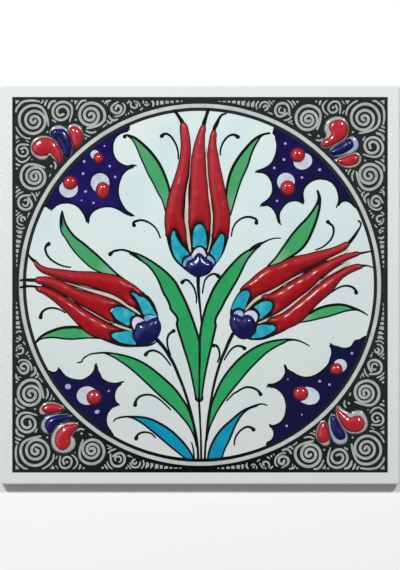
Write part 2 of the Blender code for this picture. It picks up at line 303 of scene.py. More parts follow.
# The hairs at the petals' tips and the fine ends of leaves, with the brush's half width.
HAIRS = [
    [(-8, 78.5, 0.8), (-9, 81.5, 1.1), (-10.5, 84, 0.8), (-12.8, 87.3, 0.7)],
    [(1.8, 78, 0.8), (2, 80.8, 1.1), (3, 84, 0.8), (4, 87.3, 0.9)],
    [(6.6, 75, 0.7), (7.3, 78.5, 1.0), (8.3, 80.5, 1.0), (9.5, 83, 0.7), (11, 85, 0.6),
     (13.2, 85.7, 0.35)],
    [(-80, 9, 0.8), (-82.6, 11.6, 0.9), (-84.5, 13.2, 0.7), (-85.6, 14.6, 0.5),
     (-86.3, 16.2, 0.3)],
    [(-80, 2.3, 0.8), (-84, 2.3, 0.9), (-87.5, 2.4, 0.8), (-90, 2.2, 0.5)],
    [(-78.5, -2, 0.6), (-82, -1, 0.6), (-85.5, -0.7, 0.6), (-88, -0.9, 0.7), (-90, -1.4, 0.5)],
    [(72.5, 19, 0.8), (75, 21.5, 0.9), (77, 24, 0.8), (79, 27, 0.6), (80.3, 29.3, 0.4),
     (80.5, 30.8, 0.5), (79.4, 32, 0.5)],
    [(78, 15.4, 0.6), (80.5, 15.8, 0.6), (83, 16.3, 0.5), (86, 16.9, 0.4)],
    [(79, 9.3, 0.6), (81.5, 9.6, 0.6), (84, 9.5, 0.4), (86.6, 8.6, 0.3)],
    [(-61.4, -39, 0.3), (-59.3, -38.5, 0.45), (-58.6, -37.2, 0.35), (-57.5, -36, 0.4)],
    [(-43.2, -68.4, 0.3), (-42.8, -67.6, 0.4), (-41, -66.7, 0.45), (-38, -66.1, 0.5),
     (-35, -66, 0.5)],
    [(33.6, -60.4, 0.3), (31.5, -59.7, 0.4), (29, -60, 0.5), (26, -61, 0.5)],
    [(40.3, 23.3, 0.3), (37.5, 23.3, 0.35), (34.5, 22.5, 0.4), (32, 21.3, 0.5),
     (29.5, 20.2, 0.9), (27, 18.8, 1.0), (25, 17.3, 0.7)],
    [(-69.1, 37.2, 0.2), (-69.3, 34.8, 0.4), (-69.2, 32, 0.55), (-69, 29, 0.3)],
    [(58.7, 47.3, 0.2), (59.3, 45, 0.6), (59.5, 42.5, 0.7), (59.3, 40, 0.4)],
    [(-0.3, -26, 0.4), (-0.2, -28, 0.65), (-0.1, -35, 0.5), (0, -42, 0.35)],
    [(84, -15.3, 0.25), (81, -13.4, 0.5), (78, -12.2, 0.6), (75, -11.3, 0.5)],
    [(54.8, -30.7, 0.25), (51, -28.6, 0.4), (48, -27.7, 0.5), (44, -27.3, 0.5)],
    [(-58.3, -37, 0.25), (-55.5, -35, 0.4), (-52, -34.3, 0.45), (-48, -34, 0.5), (-44, -34.3, 0.5)],
]

# Runs of the cobalt fields' scalloped inner edges. A run ends in a hooked tip, where the brush
# turned, and the next run starts beside it. The first half width is the ink's at the middle of a
# run, and it narrows at both ends towards the second.
SCALLOP_INK = (0.48, 0.28)
SCALLOPS = {
    "top_left": [
        [(-35.5, 80), (-35.9, 77.3), (-38.5, 76.3), (-41, 75), (-43, 72.5), (-43.8, 69),
         (-43.3, 65), (-41.5, 62), (-39, 60.2), (-36, 59.4), (-34, 59.9), (-32, 59.6)],
        [(-33.5, 58.7), (-36, 57.8), (-38.5, 55.5), (-40, 52.5), (-41, 48.5), (-40.8, 44.5),
         (-39.5, 41), (-38, 38.5), (-36.5, 36.8), (-34, 35.2), (-33, 34.5)],
        [(-34, 34.4), (-37, 35.5), (-40, 37.3), (-43, 38.7), (-46, 39.2), (-49, 38.9),
         (-52, 37.8), (-54, 36.3), (-55.3, 34.3), (-55.7, 31.8), (-56, 30.8)],
        [(-56.8, 31.5), (-57.3, 33.5), (-58.8, 36.5), (-61.5, 39.5), (-64.5, 40.8), (-68, 41),
         (-71.5, 40), (-73.5, 38.3), (-74.5, 37.4)],
        [(-75.5, 38), (-76, 38.8), (-78.7, 39.4)],
    ],
    "top_right": [
        [(37.3, 79), (36.8, 76.4), (36.6, 75.5)],
        [(37.8, 73.5), (38.5, 70), (38.3, 67), (37.3, 63.5), (35.5, 60.5), (32.5, 58.4),
         (30, 57.4), (28.3, 56.8), (27.9, 56.2)],
        [(29, 56.2), (31, 56.2), (33.3, 55.2), (35.2, 53), (36.4, 49.5), (36.3, 46.5),
         (35, 43.7), (32.7, 41.6), (30.8, 40.3), (30.3, 39.2)],
        [(31.5, 39.4), (33.5, 39.8), (35.5, 39), (37, 37.5), (38.2, 35.3), (38.8, 33),
         (39.6, 31), (40.5, 30.3)],
        [(40, 31.5), (39.6, 34), (39.8, 36), (41, 38.3), (43.5, 41), (46.5, 42.1),
         (49.5, 41.8), (51.3, 40.8), (51.8, 40.6)],
        [(52, 41.5), (51.7, 43.5), (51.5, 46), (52.3, 48.5), (54.5, 51), (57.5, 52.6),
         (61, 53), (64.5, 52.2), (67.3, 50), (69, 46.5), (69.5, 43.5), (69.2, 41), (68.3, 38.8)],
        [(69.5, 39.8), (70.5, 41.2), (73, 42), (75.5, 41), (77.5, 39), (79, 38)],
    ],
    "bottom_left": [
        [(-75.8, -43), (-74, -43.9), (-71.8, -43.6), (-71, -42.5), (-70.8, -41.5)],
        [(-70, -42.3), (-69, -44), (-66.5, -46.3), (-63, -47.5), (-59.5, -47.8),
         (-56.5, -46.6), (-54, -44.5), (-52.7, -42.3), (-52.3, -40), (-51.7, -39.7)],
        [(-51.4, -41), (-51.3, -42.5), (-50.3, -44.5), (-49.3, -46.8), (-47.3, -48.3),
         (-44.8, -49.2), (-42, -49.4), (-40, -48.9), (-38.2, -48.5)],
        [(-39.5, -49.8), (-41.3, -51.2), (-42.4, -53), (-42.9, -55.5), (-42.6, -57.8),
         (-41.5, -59.3), (-40.3, -60.2)],
        [(-41.3, -60.5), (-43.5, -61.2), (-45.5, -63), (-46.8, -65.5), (-47, -68.5),
         (-46.3, -71), (-44.7, -73.3), (-43.2, -75.8)],
    ],
    "bottom_right": [
        [(83, -25.8), (81.5, -26.5), (80, -27.6), (78, -28), (77, -29), (76, -30.7),
         (73.8, -31.8), (71, -31.8), (68.8, -31), (67, -30.6), (65.3, -29.5)],
        [(65, -30.5), (65.7, -32), (66, -34), (65.3, -37), (64.3, -39.8), (62, -42.3),
         (59.5, -44.3), (56, -46), (52.5, -46.4), (49, -45.5), (46.5, -44), (44.3, -42.8), (43.4, -42),
         (43, -40.8), (42.3, -40.1)],
        [(42.3, -40.8), (42.7, -42), (42.8, -44), (42, -46), (40.3, -48), (38, -49.3),
         (36, -49.9), (34.2, -50), (33.7, -51.2)],
        [(35, -51.2), (37.3, -51.5), (39.8, -53), (42, -55.7), (43.1, -59), (43.2, -62.5),
         (42.4, -66), (40.6, -68.7), (38, -70.2), (36, -70.5), (34.8, -69.9)],
        [(35, -70.8), (36.3, -72), (37.1, -74), (36.8, -76.3), (35.3, -78.3), (33.7, -79),
         (33.4, -81)],
    ],
}

# Sepals, each a closed outline whose first point is the tip.
SEPALS = [
    [(-13, 27), (-14.2, 25), (-14.3, 21), (-14, 18), (-12.7, 14.5), (-11.5, 12.5), (-10, 10.8),
     (-9.1, 10.4), (-9, 12.8), (-8, 14.3), (-5.5, 15.2), (-6, 16), (-7.7, 18), (-9.5, 20), (-10.8, 22),
     (-12.3, 25)],
    [(0, 30.2), (-1.8, 29.5), (-3, 27.5), (-3.5, 25), (-3.5, 21), (-3.2, 18.6), (-1.8, 19.3),
     (0, 19.7), (1.6, 19.3), (2.9, 18.4), (3.2, 21), (3.1, 24), (2.6, 26.5), (1.8, 28.8)],
    [(10.8, 25.4), (9.8, 24.5), (8.5, 22.3), (7, 20), (6, 18), (5.2, 15.8), (5.4, 15.2),
     (6.4, 14.7), (7, 13.5), (7.4, 11), (8.7, 12), (9.8, 13.5), (10.8, 16), (11.6, 19), (12, 22), (12, 24)],
    [(-34.2, -4.2), (-32.5, -4.5), (-30.5, -5.8), (-28, -6.5), (-26, -8.3), (-24, -10.8),
     (-22.7, -13), (-21.7, -16.2), (-23.5, -15), (-25.5, -14.5), (-27.9, -15), (-29, -13), (-30, -10.5),
     (-31.2, -8), (-33, -5.5)],
    [(-44, -12.8), (-42.5, -11.5), (-40, -11.2), (-37.5, -11.8), (-35, -13.2),
     (-32.6, -15.1), (-34.3, -15.8), (-35.3, -17.5), (-35.6, -20.2), (-36.6, -20.3), (-38.5, -19.2),
     (-41, -17.7), (-43, -15.5)],
    [(-44.2, -25.3), (-43, -24.2), (-40, -23.8), (-37, -23.2), (-34, -23.2), (-34, -25),
     (-33.6, -27), (-32.2, -29.6), (-34, -29.9), (-37, -29.6), (-40, -28.7), (-42.5, -27.2)],
    [(23, -3), (21.5, -3.3), (19.5, -5), (17.8, -7.5), (16.5, -10), (16, -12.5), (17.5, -12),
     (19, -11.3), (20.5, -11.5), (22.3, -12.2), (23, -10), (24, -7.5), (24.8, -5.2), (24.3, -3.5)],
    [(27.3, -11.3), (29, -9.9), (31, -8.7), (33.5, -8.2), (35.7, -9), (36.2, -10.5),
     (35.5, -12.3), (33.5, -14.5), (31.5, -16.2), (30, -17.1), (30, -15), (29.3, -13.3), (28.2, -12)],
    [(37.8, -22), (37, -20.6), (34.5, -20.2), (31, -20.1), (28.7, -20.8), (28.3, -22.5),
     (27.6, -24.5), (25.9, -26.5), (28, -26.6), (31, -26.2), (34, -24.8), (36.3, -23.5)],
]

# The black beds under the tulips. They end inside the petals and show only between them, along
# the cups and around the sepals.
TULIP_BEDS = {
    "top": [
        (-16.5, 36), (-6, 33), (6, 33), (13.8, 35), (14.9, 30), (14.3, 24), (13, 19), (11.3, 15), (9, 11.5),
        (6.5, 8.5), (4, 6), (1, 4), (-2, 3.8), (-4, 4.8), (-7, 7), (-10, 9.5), (-12.5, 12), (-14.5, 15.5),
        (-16, 20), (-17, 25), (-17.7, 30),
    ],
    "left": [
        (-41, 3.8), (-42, -8), (-48, -18), (-56, -23), (-53, -25), (-50, -27), (-45, -29.2), (-40, -30.8),
        (-35, -31.3), (-31, -31), (-27, -30.2), (-23, -27), (-20.5, -20), (-20.6, -17), (-22, -13),
        (-25, -8), (-28, -4.5), (-31, -1.6), (-35, 0.9),
    ],
    "right": [
        (37, 9.8), (40, 4), (44, -8), (47, -18), (44, -22), (40, -24.3), (36, -26), (32, -27.5),
        (28, -27.8), (24, -27.3), (17, -22), (15, -14.5), (15.6, -11), (17.3, -7), (20, -3), (25, 2.5),
        (31, 7.4),
    ],
}

# Bare cream glaze left between the petals, as middle lines with half widths from the open end to
# the foot. The painted shade under it, the shadow that the petals cast into the gap, reaches
# GAP_SHADE further on each side, and has grown to that reach GAP_SHADE_POINTS points in from the
# open end.
CREAM_GAPS = [
    [(-4.5, 66, 0.1), (-4.7, 62, 0.15), (-5, 58, 0.12), (-5.3, 54, 0.12), (-6, 50, 0.35),
     (-6.5, 45, 0.6), (-6.6, 40, 0.75), (-6.8, 35, 0.9), (-6.6, 30, 0.95), (-6.1, 25, 0.9),
     (-5.5, 21, 0.75), (-4.8, 16.6, 0.3)],
    [(3.4, 69, 0.1), (3.2, 65, 0.3), (3.4, 60, 0.35), (3.7, 55, 0.35),
     (4.2, 50, 0.4), (4.7, 45, 0.45), (5.2, 40, 0.5), (5.9, 35, 0.5), (5.8, 30, 0.45), (5.6, 25, 0.35),
     (5.1, 21, 0.3), (3.9, 16.4, 0.2)],
    [(-72, 2.9, 0.1), (-68, 1.4, 0.15), (-64, 0.1, 0.2), (-60, -1.2, 0.3), (-55, -2.7, 0.6),
     (-50, -4.1, 0.8), (-45, -5.6, 0.85), (-41, -7.4, 0.75), (-37, -10, 0.6), (-33, -12.6, 0.6),
     (-30, -14.7, 0.2)],
    [(-70, -3.9, 0.1), (-66, -6.4, 0.1), (-62, -9, 0.1), (-58, -11.6, 0.15), (-54, -13.9, 0.25),
     (-50, -16.2, 0.3), (-47, -17.7, 0.35), (-44, -19.2, 0.45), (-40, -20.9, 0.55), (-37, -21.9, 0.5),
     (-34.2, -22.6, 0.2)],
    [(51.5, 5.8, 0.1), (49, 4.5, 0.25), (46, 2.8, 0.4), (42, 1, 0.65),
     (38, -1.6, 0.8), (34, -3.8, 0.9), (30, -6.1, 0.8), (27, -8.2, 0.7), (25, -10.2, 0.6),
     (22.9, -12.6, 0.25)],
    [(64, 4.7, 0.1), (60, 1.9, 0.25), (56, -1.5, 0.4), (52, -5.2, 0.45), (48, -8.4, 0.5),
     (44, -11.5, 0.5), (40, -14.3, 0.5), (36.5, -16.2, 0.5), (33, -17.7, 0.5), (29.2, -19.2, 0.2)],
    [(74.6, 17.4, 0.2), (72, 16.2, 0.7), (69, 14.8, 0.6), (66, 13.4, 0.4), (63.5, 12.2, 0.1)],
    [(75.4, 11.4, 0.3), (73, 10.2, 0.8), (69, 8, 0.8), (66, 6.1, 0.6), (63, 4, 0.4), (60.5, 1.9, 0.2)],
]
GAP_SHADE = 0.55
GAP_SHADE_POINTS = 2

# Where two petals nearly meet, nothing but painted shade lies between them: the shadow in the
# narrow gap.
DARK_GAPS = [
    [(65, 12.9, 0.3), (62, 11.4, 0.6), (59, 10.2, 0.8), (56, 8.6, 0.9), (53, 7.1, 1.0),
     (50, 5.6, 1.0), (47, 3.9, 0.9), (43, 1.6, 0.8)],
    [(-79, -0.4, 0.3), (-76, -1.6, 0.5), (-72, -3.3, 0.6), (-68, -5.5, 0.7), (-64, -7.9, 0.7),
     (-60, -10.7, 0.7), (-56, -13.1, 0.7), (-52, -15.4, 0.7), (-48, -17.6, 0.7)],
    [(-5.9, 55, 0.3), (-6.5, 51, 0.6), (-7.2, 47, 0.8), (-7.7, 43, 0.8), (-8.1, 39, 0.7),
     (-8.1, 36, 0.7), (-7.8, 32, 0.5), (-7.2, 29, 0.3)],
    [(-5.1, 58, 0.3), (-5.2, 52, 0.6), (-5.4, 46, 0.6), (-5.8, 40, 0.4)],
]

# Half width of the dark line along the petals' rims: partly red-stained ink under the enamel's
# edge and partly painted shade at the relief's foot.
PETAL_LINE = 0.3

# White and pale-blue lobes over the hearts, closed outlines.
WHITE_LOBES = [
    [(-4.2, 14), (-3.6, 15.8), (-2.4, 17.6), (-1, 18.5), (0.3, 18.7), (1.6, 17.8), (2.6, 16),
     (3, 14.3), (1.6, 13.8), (0, 13.5), (-1.5, 13.3), (-3.2, 13.2)],
    [(-34, -19.5), (-33.8, -18), (-33, -16.7), (-31.5, -16.1), (-29.8, -16.7), (-28.2, -17.7),
     (-28.2, -19.5), (-30, -21.5), (-32.4, -22.6), (-33.4, -21.5)],
    [(22.3, -14.8), (23.5, -13.5), (25.3, -12.9), (27, -13.2), (28.3, -14.3), (28.8, -15.8),
     (28.5, -17.3), (27.8, -18.6), (26.5, -18), (24.5, -16.5)],
]
BLUE_LOBES = [
    [(-27.8, -17), (-27.5, -15.8), (-26, -15.2), (-24.3, -15.3), (-22.2, -16.6), (-24, -18.5),
     (-26.8, -18.9)],
    [(17, -14.2), (17.8, -13.3), (19.3, -12.7), (21, -13.3), (21.8, -14.8), (20.5, -16.5),
     (18, -15.9)],
    [(-8.3, 9.4), (-8.3, 11.2), (-7.4, 12.8), (-5.8, 13.9), (-4.2, 14.2), (-4, 12.8), (-6, 11),
     (-7, 9.4)],
    [(6.9, 10.2), (7, 11.6), (6.4, 13), (5.3, 14), (4, 14.4), (3.7, 13), (5, 12), (6.2, 10.6)],
]

# Each petal of relief enamel is a closed outline in mm: the tip, down one edge to the first toe,
# round the fork where a sepal lies, and from the second toe back up the other edge. The second
# list holds the numbers of its sharp points.
PETALS = {
    "petal_top_left": (
        [(-8.5, 81.6), (-9.6, 80.4), (-9.9, 78), (-9.7, 75), (-9.4, 70), (-9.8, 65), (-10.8, 60),
         (-12.2, 55), (-13.9, 50), (-15.5, 45), (-16.6, 40), (-17.4, 35), (-17.5, 30), (-17.1, 27),
         (-16.5, 24), (-15.3, 25), (-14, 27), (-12.8, 28), (-11.5, 27), (-10, 24.5), (-8.6, 21.5),
         (-7.2, 20.7), (-6.9, 23.5), (-7.1, 27), (-7.6, 30), (-8.6, 35), (-8.6, 40), (-8, 45), (-7.1, 50),
         (-6.1, 55), (-5.6, 60), (-4.9, 65), (-4.9, 70), (-5.5, 75), (-6.1, 78), (-6.9, 80.2)],
        (0, 14, 21),
    ),
    "petal_top_middle": (
        [(1.9, 80.7), (0.6, 79.3), (-0.4, 77.2), (-1.2, 75), (-2.8, 70), (-3.8, 65), (-4.5, 60),
         (-4.7, 55), (-4.8, 50), (-5, 45), (-5.4, 40), (-5.6, 35), (-5.5, 30), (-4.7, 27.3), (-4, 28),
         (-3, 29.6), (-1.5, 31), (0, 31.4), (1.5, 30.8), (2.4, 29), (3.1, 27), (4.2, 25.8), (4.9, 28),
         (5.2, 31), (5.2, 35), (4.6, 40), (3.9, 45), (3.6, 50), (3, 55), (2.6, 60), (2.4, 65), (2.2, 70),
         (2.3, 75), (2.7, 78.6)],
        (0, 13, 21),
    ),
    "petal_top_right": (
        [(7, 77.7), (5.8, 76.4), (5, 73.5), (4.4, 70), (4, 65), (4, 60), (4.3, 55), (4.8, 50),
         (5.4, 45), (6.4, 40), (7, 35), (6.8, 30), (6.5, 27), (6.3, 23.2), (7.8, 23.2), (9, 24.8),
         (10, 26.1), (11, 26.5), (12.2, 25.6), (13, 24.2), (13.5, 22.6), (14.2, 25), (14.7, 30), (14.9, 35),
         (14, 40), (13.1, 45), (12, 50), (10.9, 55), (9.8, 60), (8.9, 65), (8, 70), (8, 73), (8, 76.2)],
        (0, 13, 20),
    ),
    "petal_left_upper": (
        [(-83.1, 12.2), (-81.7, 11.1), (-80, 9.9), (-77, 8.6), (-74, 8), (-70, 7.6), (-65, 7),
         (-60, 6.6), (-55, 6.5), (-50, 6), (-45, 5.2), (-41, 4.4), (-38, 2.8), (-35, 1), (-32, -1),
         (-29.5, -3.2), (-27.8, -4.9), (-29.5, -5), (-31.4, -4.7), (-33, -3.6), (-34.8, -3.5),
         (-34.6, -5.5), (-33.2, -7.6), (-31.9, -9.6), (-31.8, -11.3), (-33.4, -11), (-35, -10.6),
         (-38, -8.3), (-41, -6.3), (-45, -4.4), (-50, -2.6), (-55, -1.1), (-60, 0.1), (-65, 1.3),
         (-70, 2.8), (-73, 3.8), (-76, 4.9), (-79, 6.2), (-81.5, 8.3), (-83, 10.8)],
        (0, 16, 24),
    ),
    "petal_left_middle": (
        [(-82.8, 2.3), (-82, 3.4), (-79, 3.9), (-76, 3.9), (-73, 3.1), (-70, 2.1), (-67, 0.7),
         (-64.5, -0.6), (-62, -1.8), (-58, -3.2), (-54, -4.2), (-50, -5.2), (-46, -6.8), (-43, -8),
         (-40.2, -9.6), (-41.8, -10.6), (-43.5, -11.3), (-44.9, -12.6), (-44.9, -14.2), (-44, -16),
         (-43, -17.6), (-43.2, -19.3), (-46, -18), (-50, -15.7), (-54, -13.4), (-58, -11.2), (-61, -9.5),
         (-64, -7.3), (-68, -5), (-72, -2.8), (-76, -1), (-79, 0.2), (-82, 1.2)],
        (0, 14, 21),
    ),
    "petal_left_lower": (
        [(-82.4, -1.6), (-80.8, -0.9), (-78, -1.2), (-74, -2.8), (-70, -4.8), (-66, -7.1),
         (-62, -9.8), (-59, -11.9), (-55, -14.4), (-50, -17.3), (-46, -19.6), (-43, -21), (-39.9, -22.4),
         (-41.5, -23.1), (-43.5, -23.5), (-45.1, -24.5), (-45.1, -26), (-44.6, -28.3), (-47, -27.6),
         (-50, -26.8), (-53, -26), (-56, -24.5), (-59, -22), (-61.5, -19.5), (-64, -16.8), (-66.5, -14.1),
         (-70, -10.9), (-74, -7.5), (-78, -4.7), (-81.6, -2.8)],
        (0, 12, 17),
    ),
    "petal_right_upper": (
        [(74.8, 20.8), (73.5, 21.3), (70, 19.9), (66, 18.4), (62, 17.3), (58, 16.5), (54, 15.4),
         (50, 14.6), (46, 13.8), (43, 12.6), (40, 11.1), (37, 10), (34, 9.2), (31, 7.2), (28, 5), (25, 2.2),
         (22.5, 0.2), (20.8, -1.5), (20.2, -2.6), (21.8, -2.5), (23.6, -2.3), (25.2, -3.6), (25.9, -6.5),
         (28, -5.9), (30, -5), (34, -3.2), (38, -1.2), (42, 1.1), (46, 3.6), (50, 6.2), (54, 8.3),
         (58, 10.2), (61, 11.5), (65, 13.6), (69, 15.6), (72.5, 17.5), (74.4, 19.5)],
        (0, 18, 22),
    ),
    "petal_right_middle": (
        [(80.2, 15.6), (79, 16.4), (76, 16), (72, 15.1), (68, 13.6), (64, 11.8), (60, 9.8),
         (57, 8.3), (54, 6.3), (50, 4), (46, 1.6), (42, -1), (38, -3.4), (35, -4.7), (32, -5.2),
         (30.9, -6.2), (32.6, -7.4), (35, -7.8), (36.8, -9), (37.1, -11), (36.3, -13.3), (35.9, -15.2),
         (38, -14.3), (42, -12), (46, -9), (50, -6), (54, -3), (57, -0.3), (60, 2.8), (64, 6), (68, 9),
         (72, 11.5), (76, 13.4), (79.2, 14.8)],
        (0, 15, 21),
    ),
    "petal_right_lower": (
        [(81.8, 9.2), (80, 10.2), (77, 10), (73, 8.5), (70, 6.8), (66, 4.6), (62, 2.2),
         (60, 0.5), (57, -1.8), (54, -4.4), (50, -7.6), (46, -11), (42, -13.9), (38, -15.7), (35, -16.8),
         (33.8, -18.6), (35.6, -19.3), (37.5, -20), (38.4, -21.4), (38.5, -24.3), (41, -23.2), (44, -21.8),
         (47, -20.5), (49, -19.5), (52, -17), (55, -14), (57.5, -11), (60, -8.5), (63, -6), (66, -3.4),
         (68.5, 0), (71, 3), (74, 5.2), (78, 7.2), (81, 8.5)],
        (0, 15, 19),
    ),
}

# The hearts at the tulips' feet, closed outlines.
HEARTS = {
    "heart_top": [
        (-7.1, 10.2), (-6.4, 11.9), (-4.8, 12.8), (-3.6, 13.4), (-2.5, 14.8), (-1.4, 15.9), (0, 16.1),
        (1.4, 15.2), (2.7, 13.9), (4, 12.8), (5.5, 12), (6.7, 10.9), (7.2, 9.7), (6.3, 7.6), (4.6, 5.6),
        (2.4, 4.4), (0, 4), (-2.4, 4.2), (-4.8, 5.2), (-6.6, 7.1), (-7.3, 8.8),
    ],
    "heart_left": [
        (-32.4, -20.5), (-31.5, -19.1), (-30, -18.6), (-28.5, -18), (-26, -17.7), (-24.5, -16.8),
        (-23, -16.3), (-21.5, -16.8), (-20.2, -18), (-19.3, -21.3), (-19.7, -23.6), (-20.6, -25.8),
        (-22, -27.7), (-24, -29.2), (-27, -30), (-30, -30), (-32.5, -29), (-33.5, -27), (-33.6, -24.5),
        (-33, -22.5),
    ],
    "heart_right": [
        (16.2, -14.8), (15, -16.5), (14.6, -18.5), (15, -21), (16.2, -23.6), (18, -25.7), (20, -27.1),
        (22, -27.5), (24, -26.9), (26, -25.2), (27.3, -22.5), (27.8, -20), (27.6, -18), (26.5, -16.2),
        (25.3, -15.2), (23.7, -14.8), (22.2, -15), (21, -15.8), (19.8, -15.2), (18.3, -14.5),
    ],
}

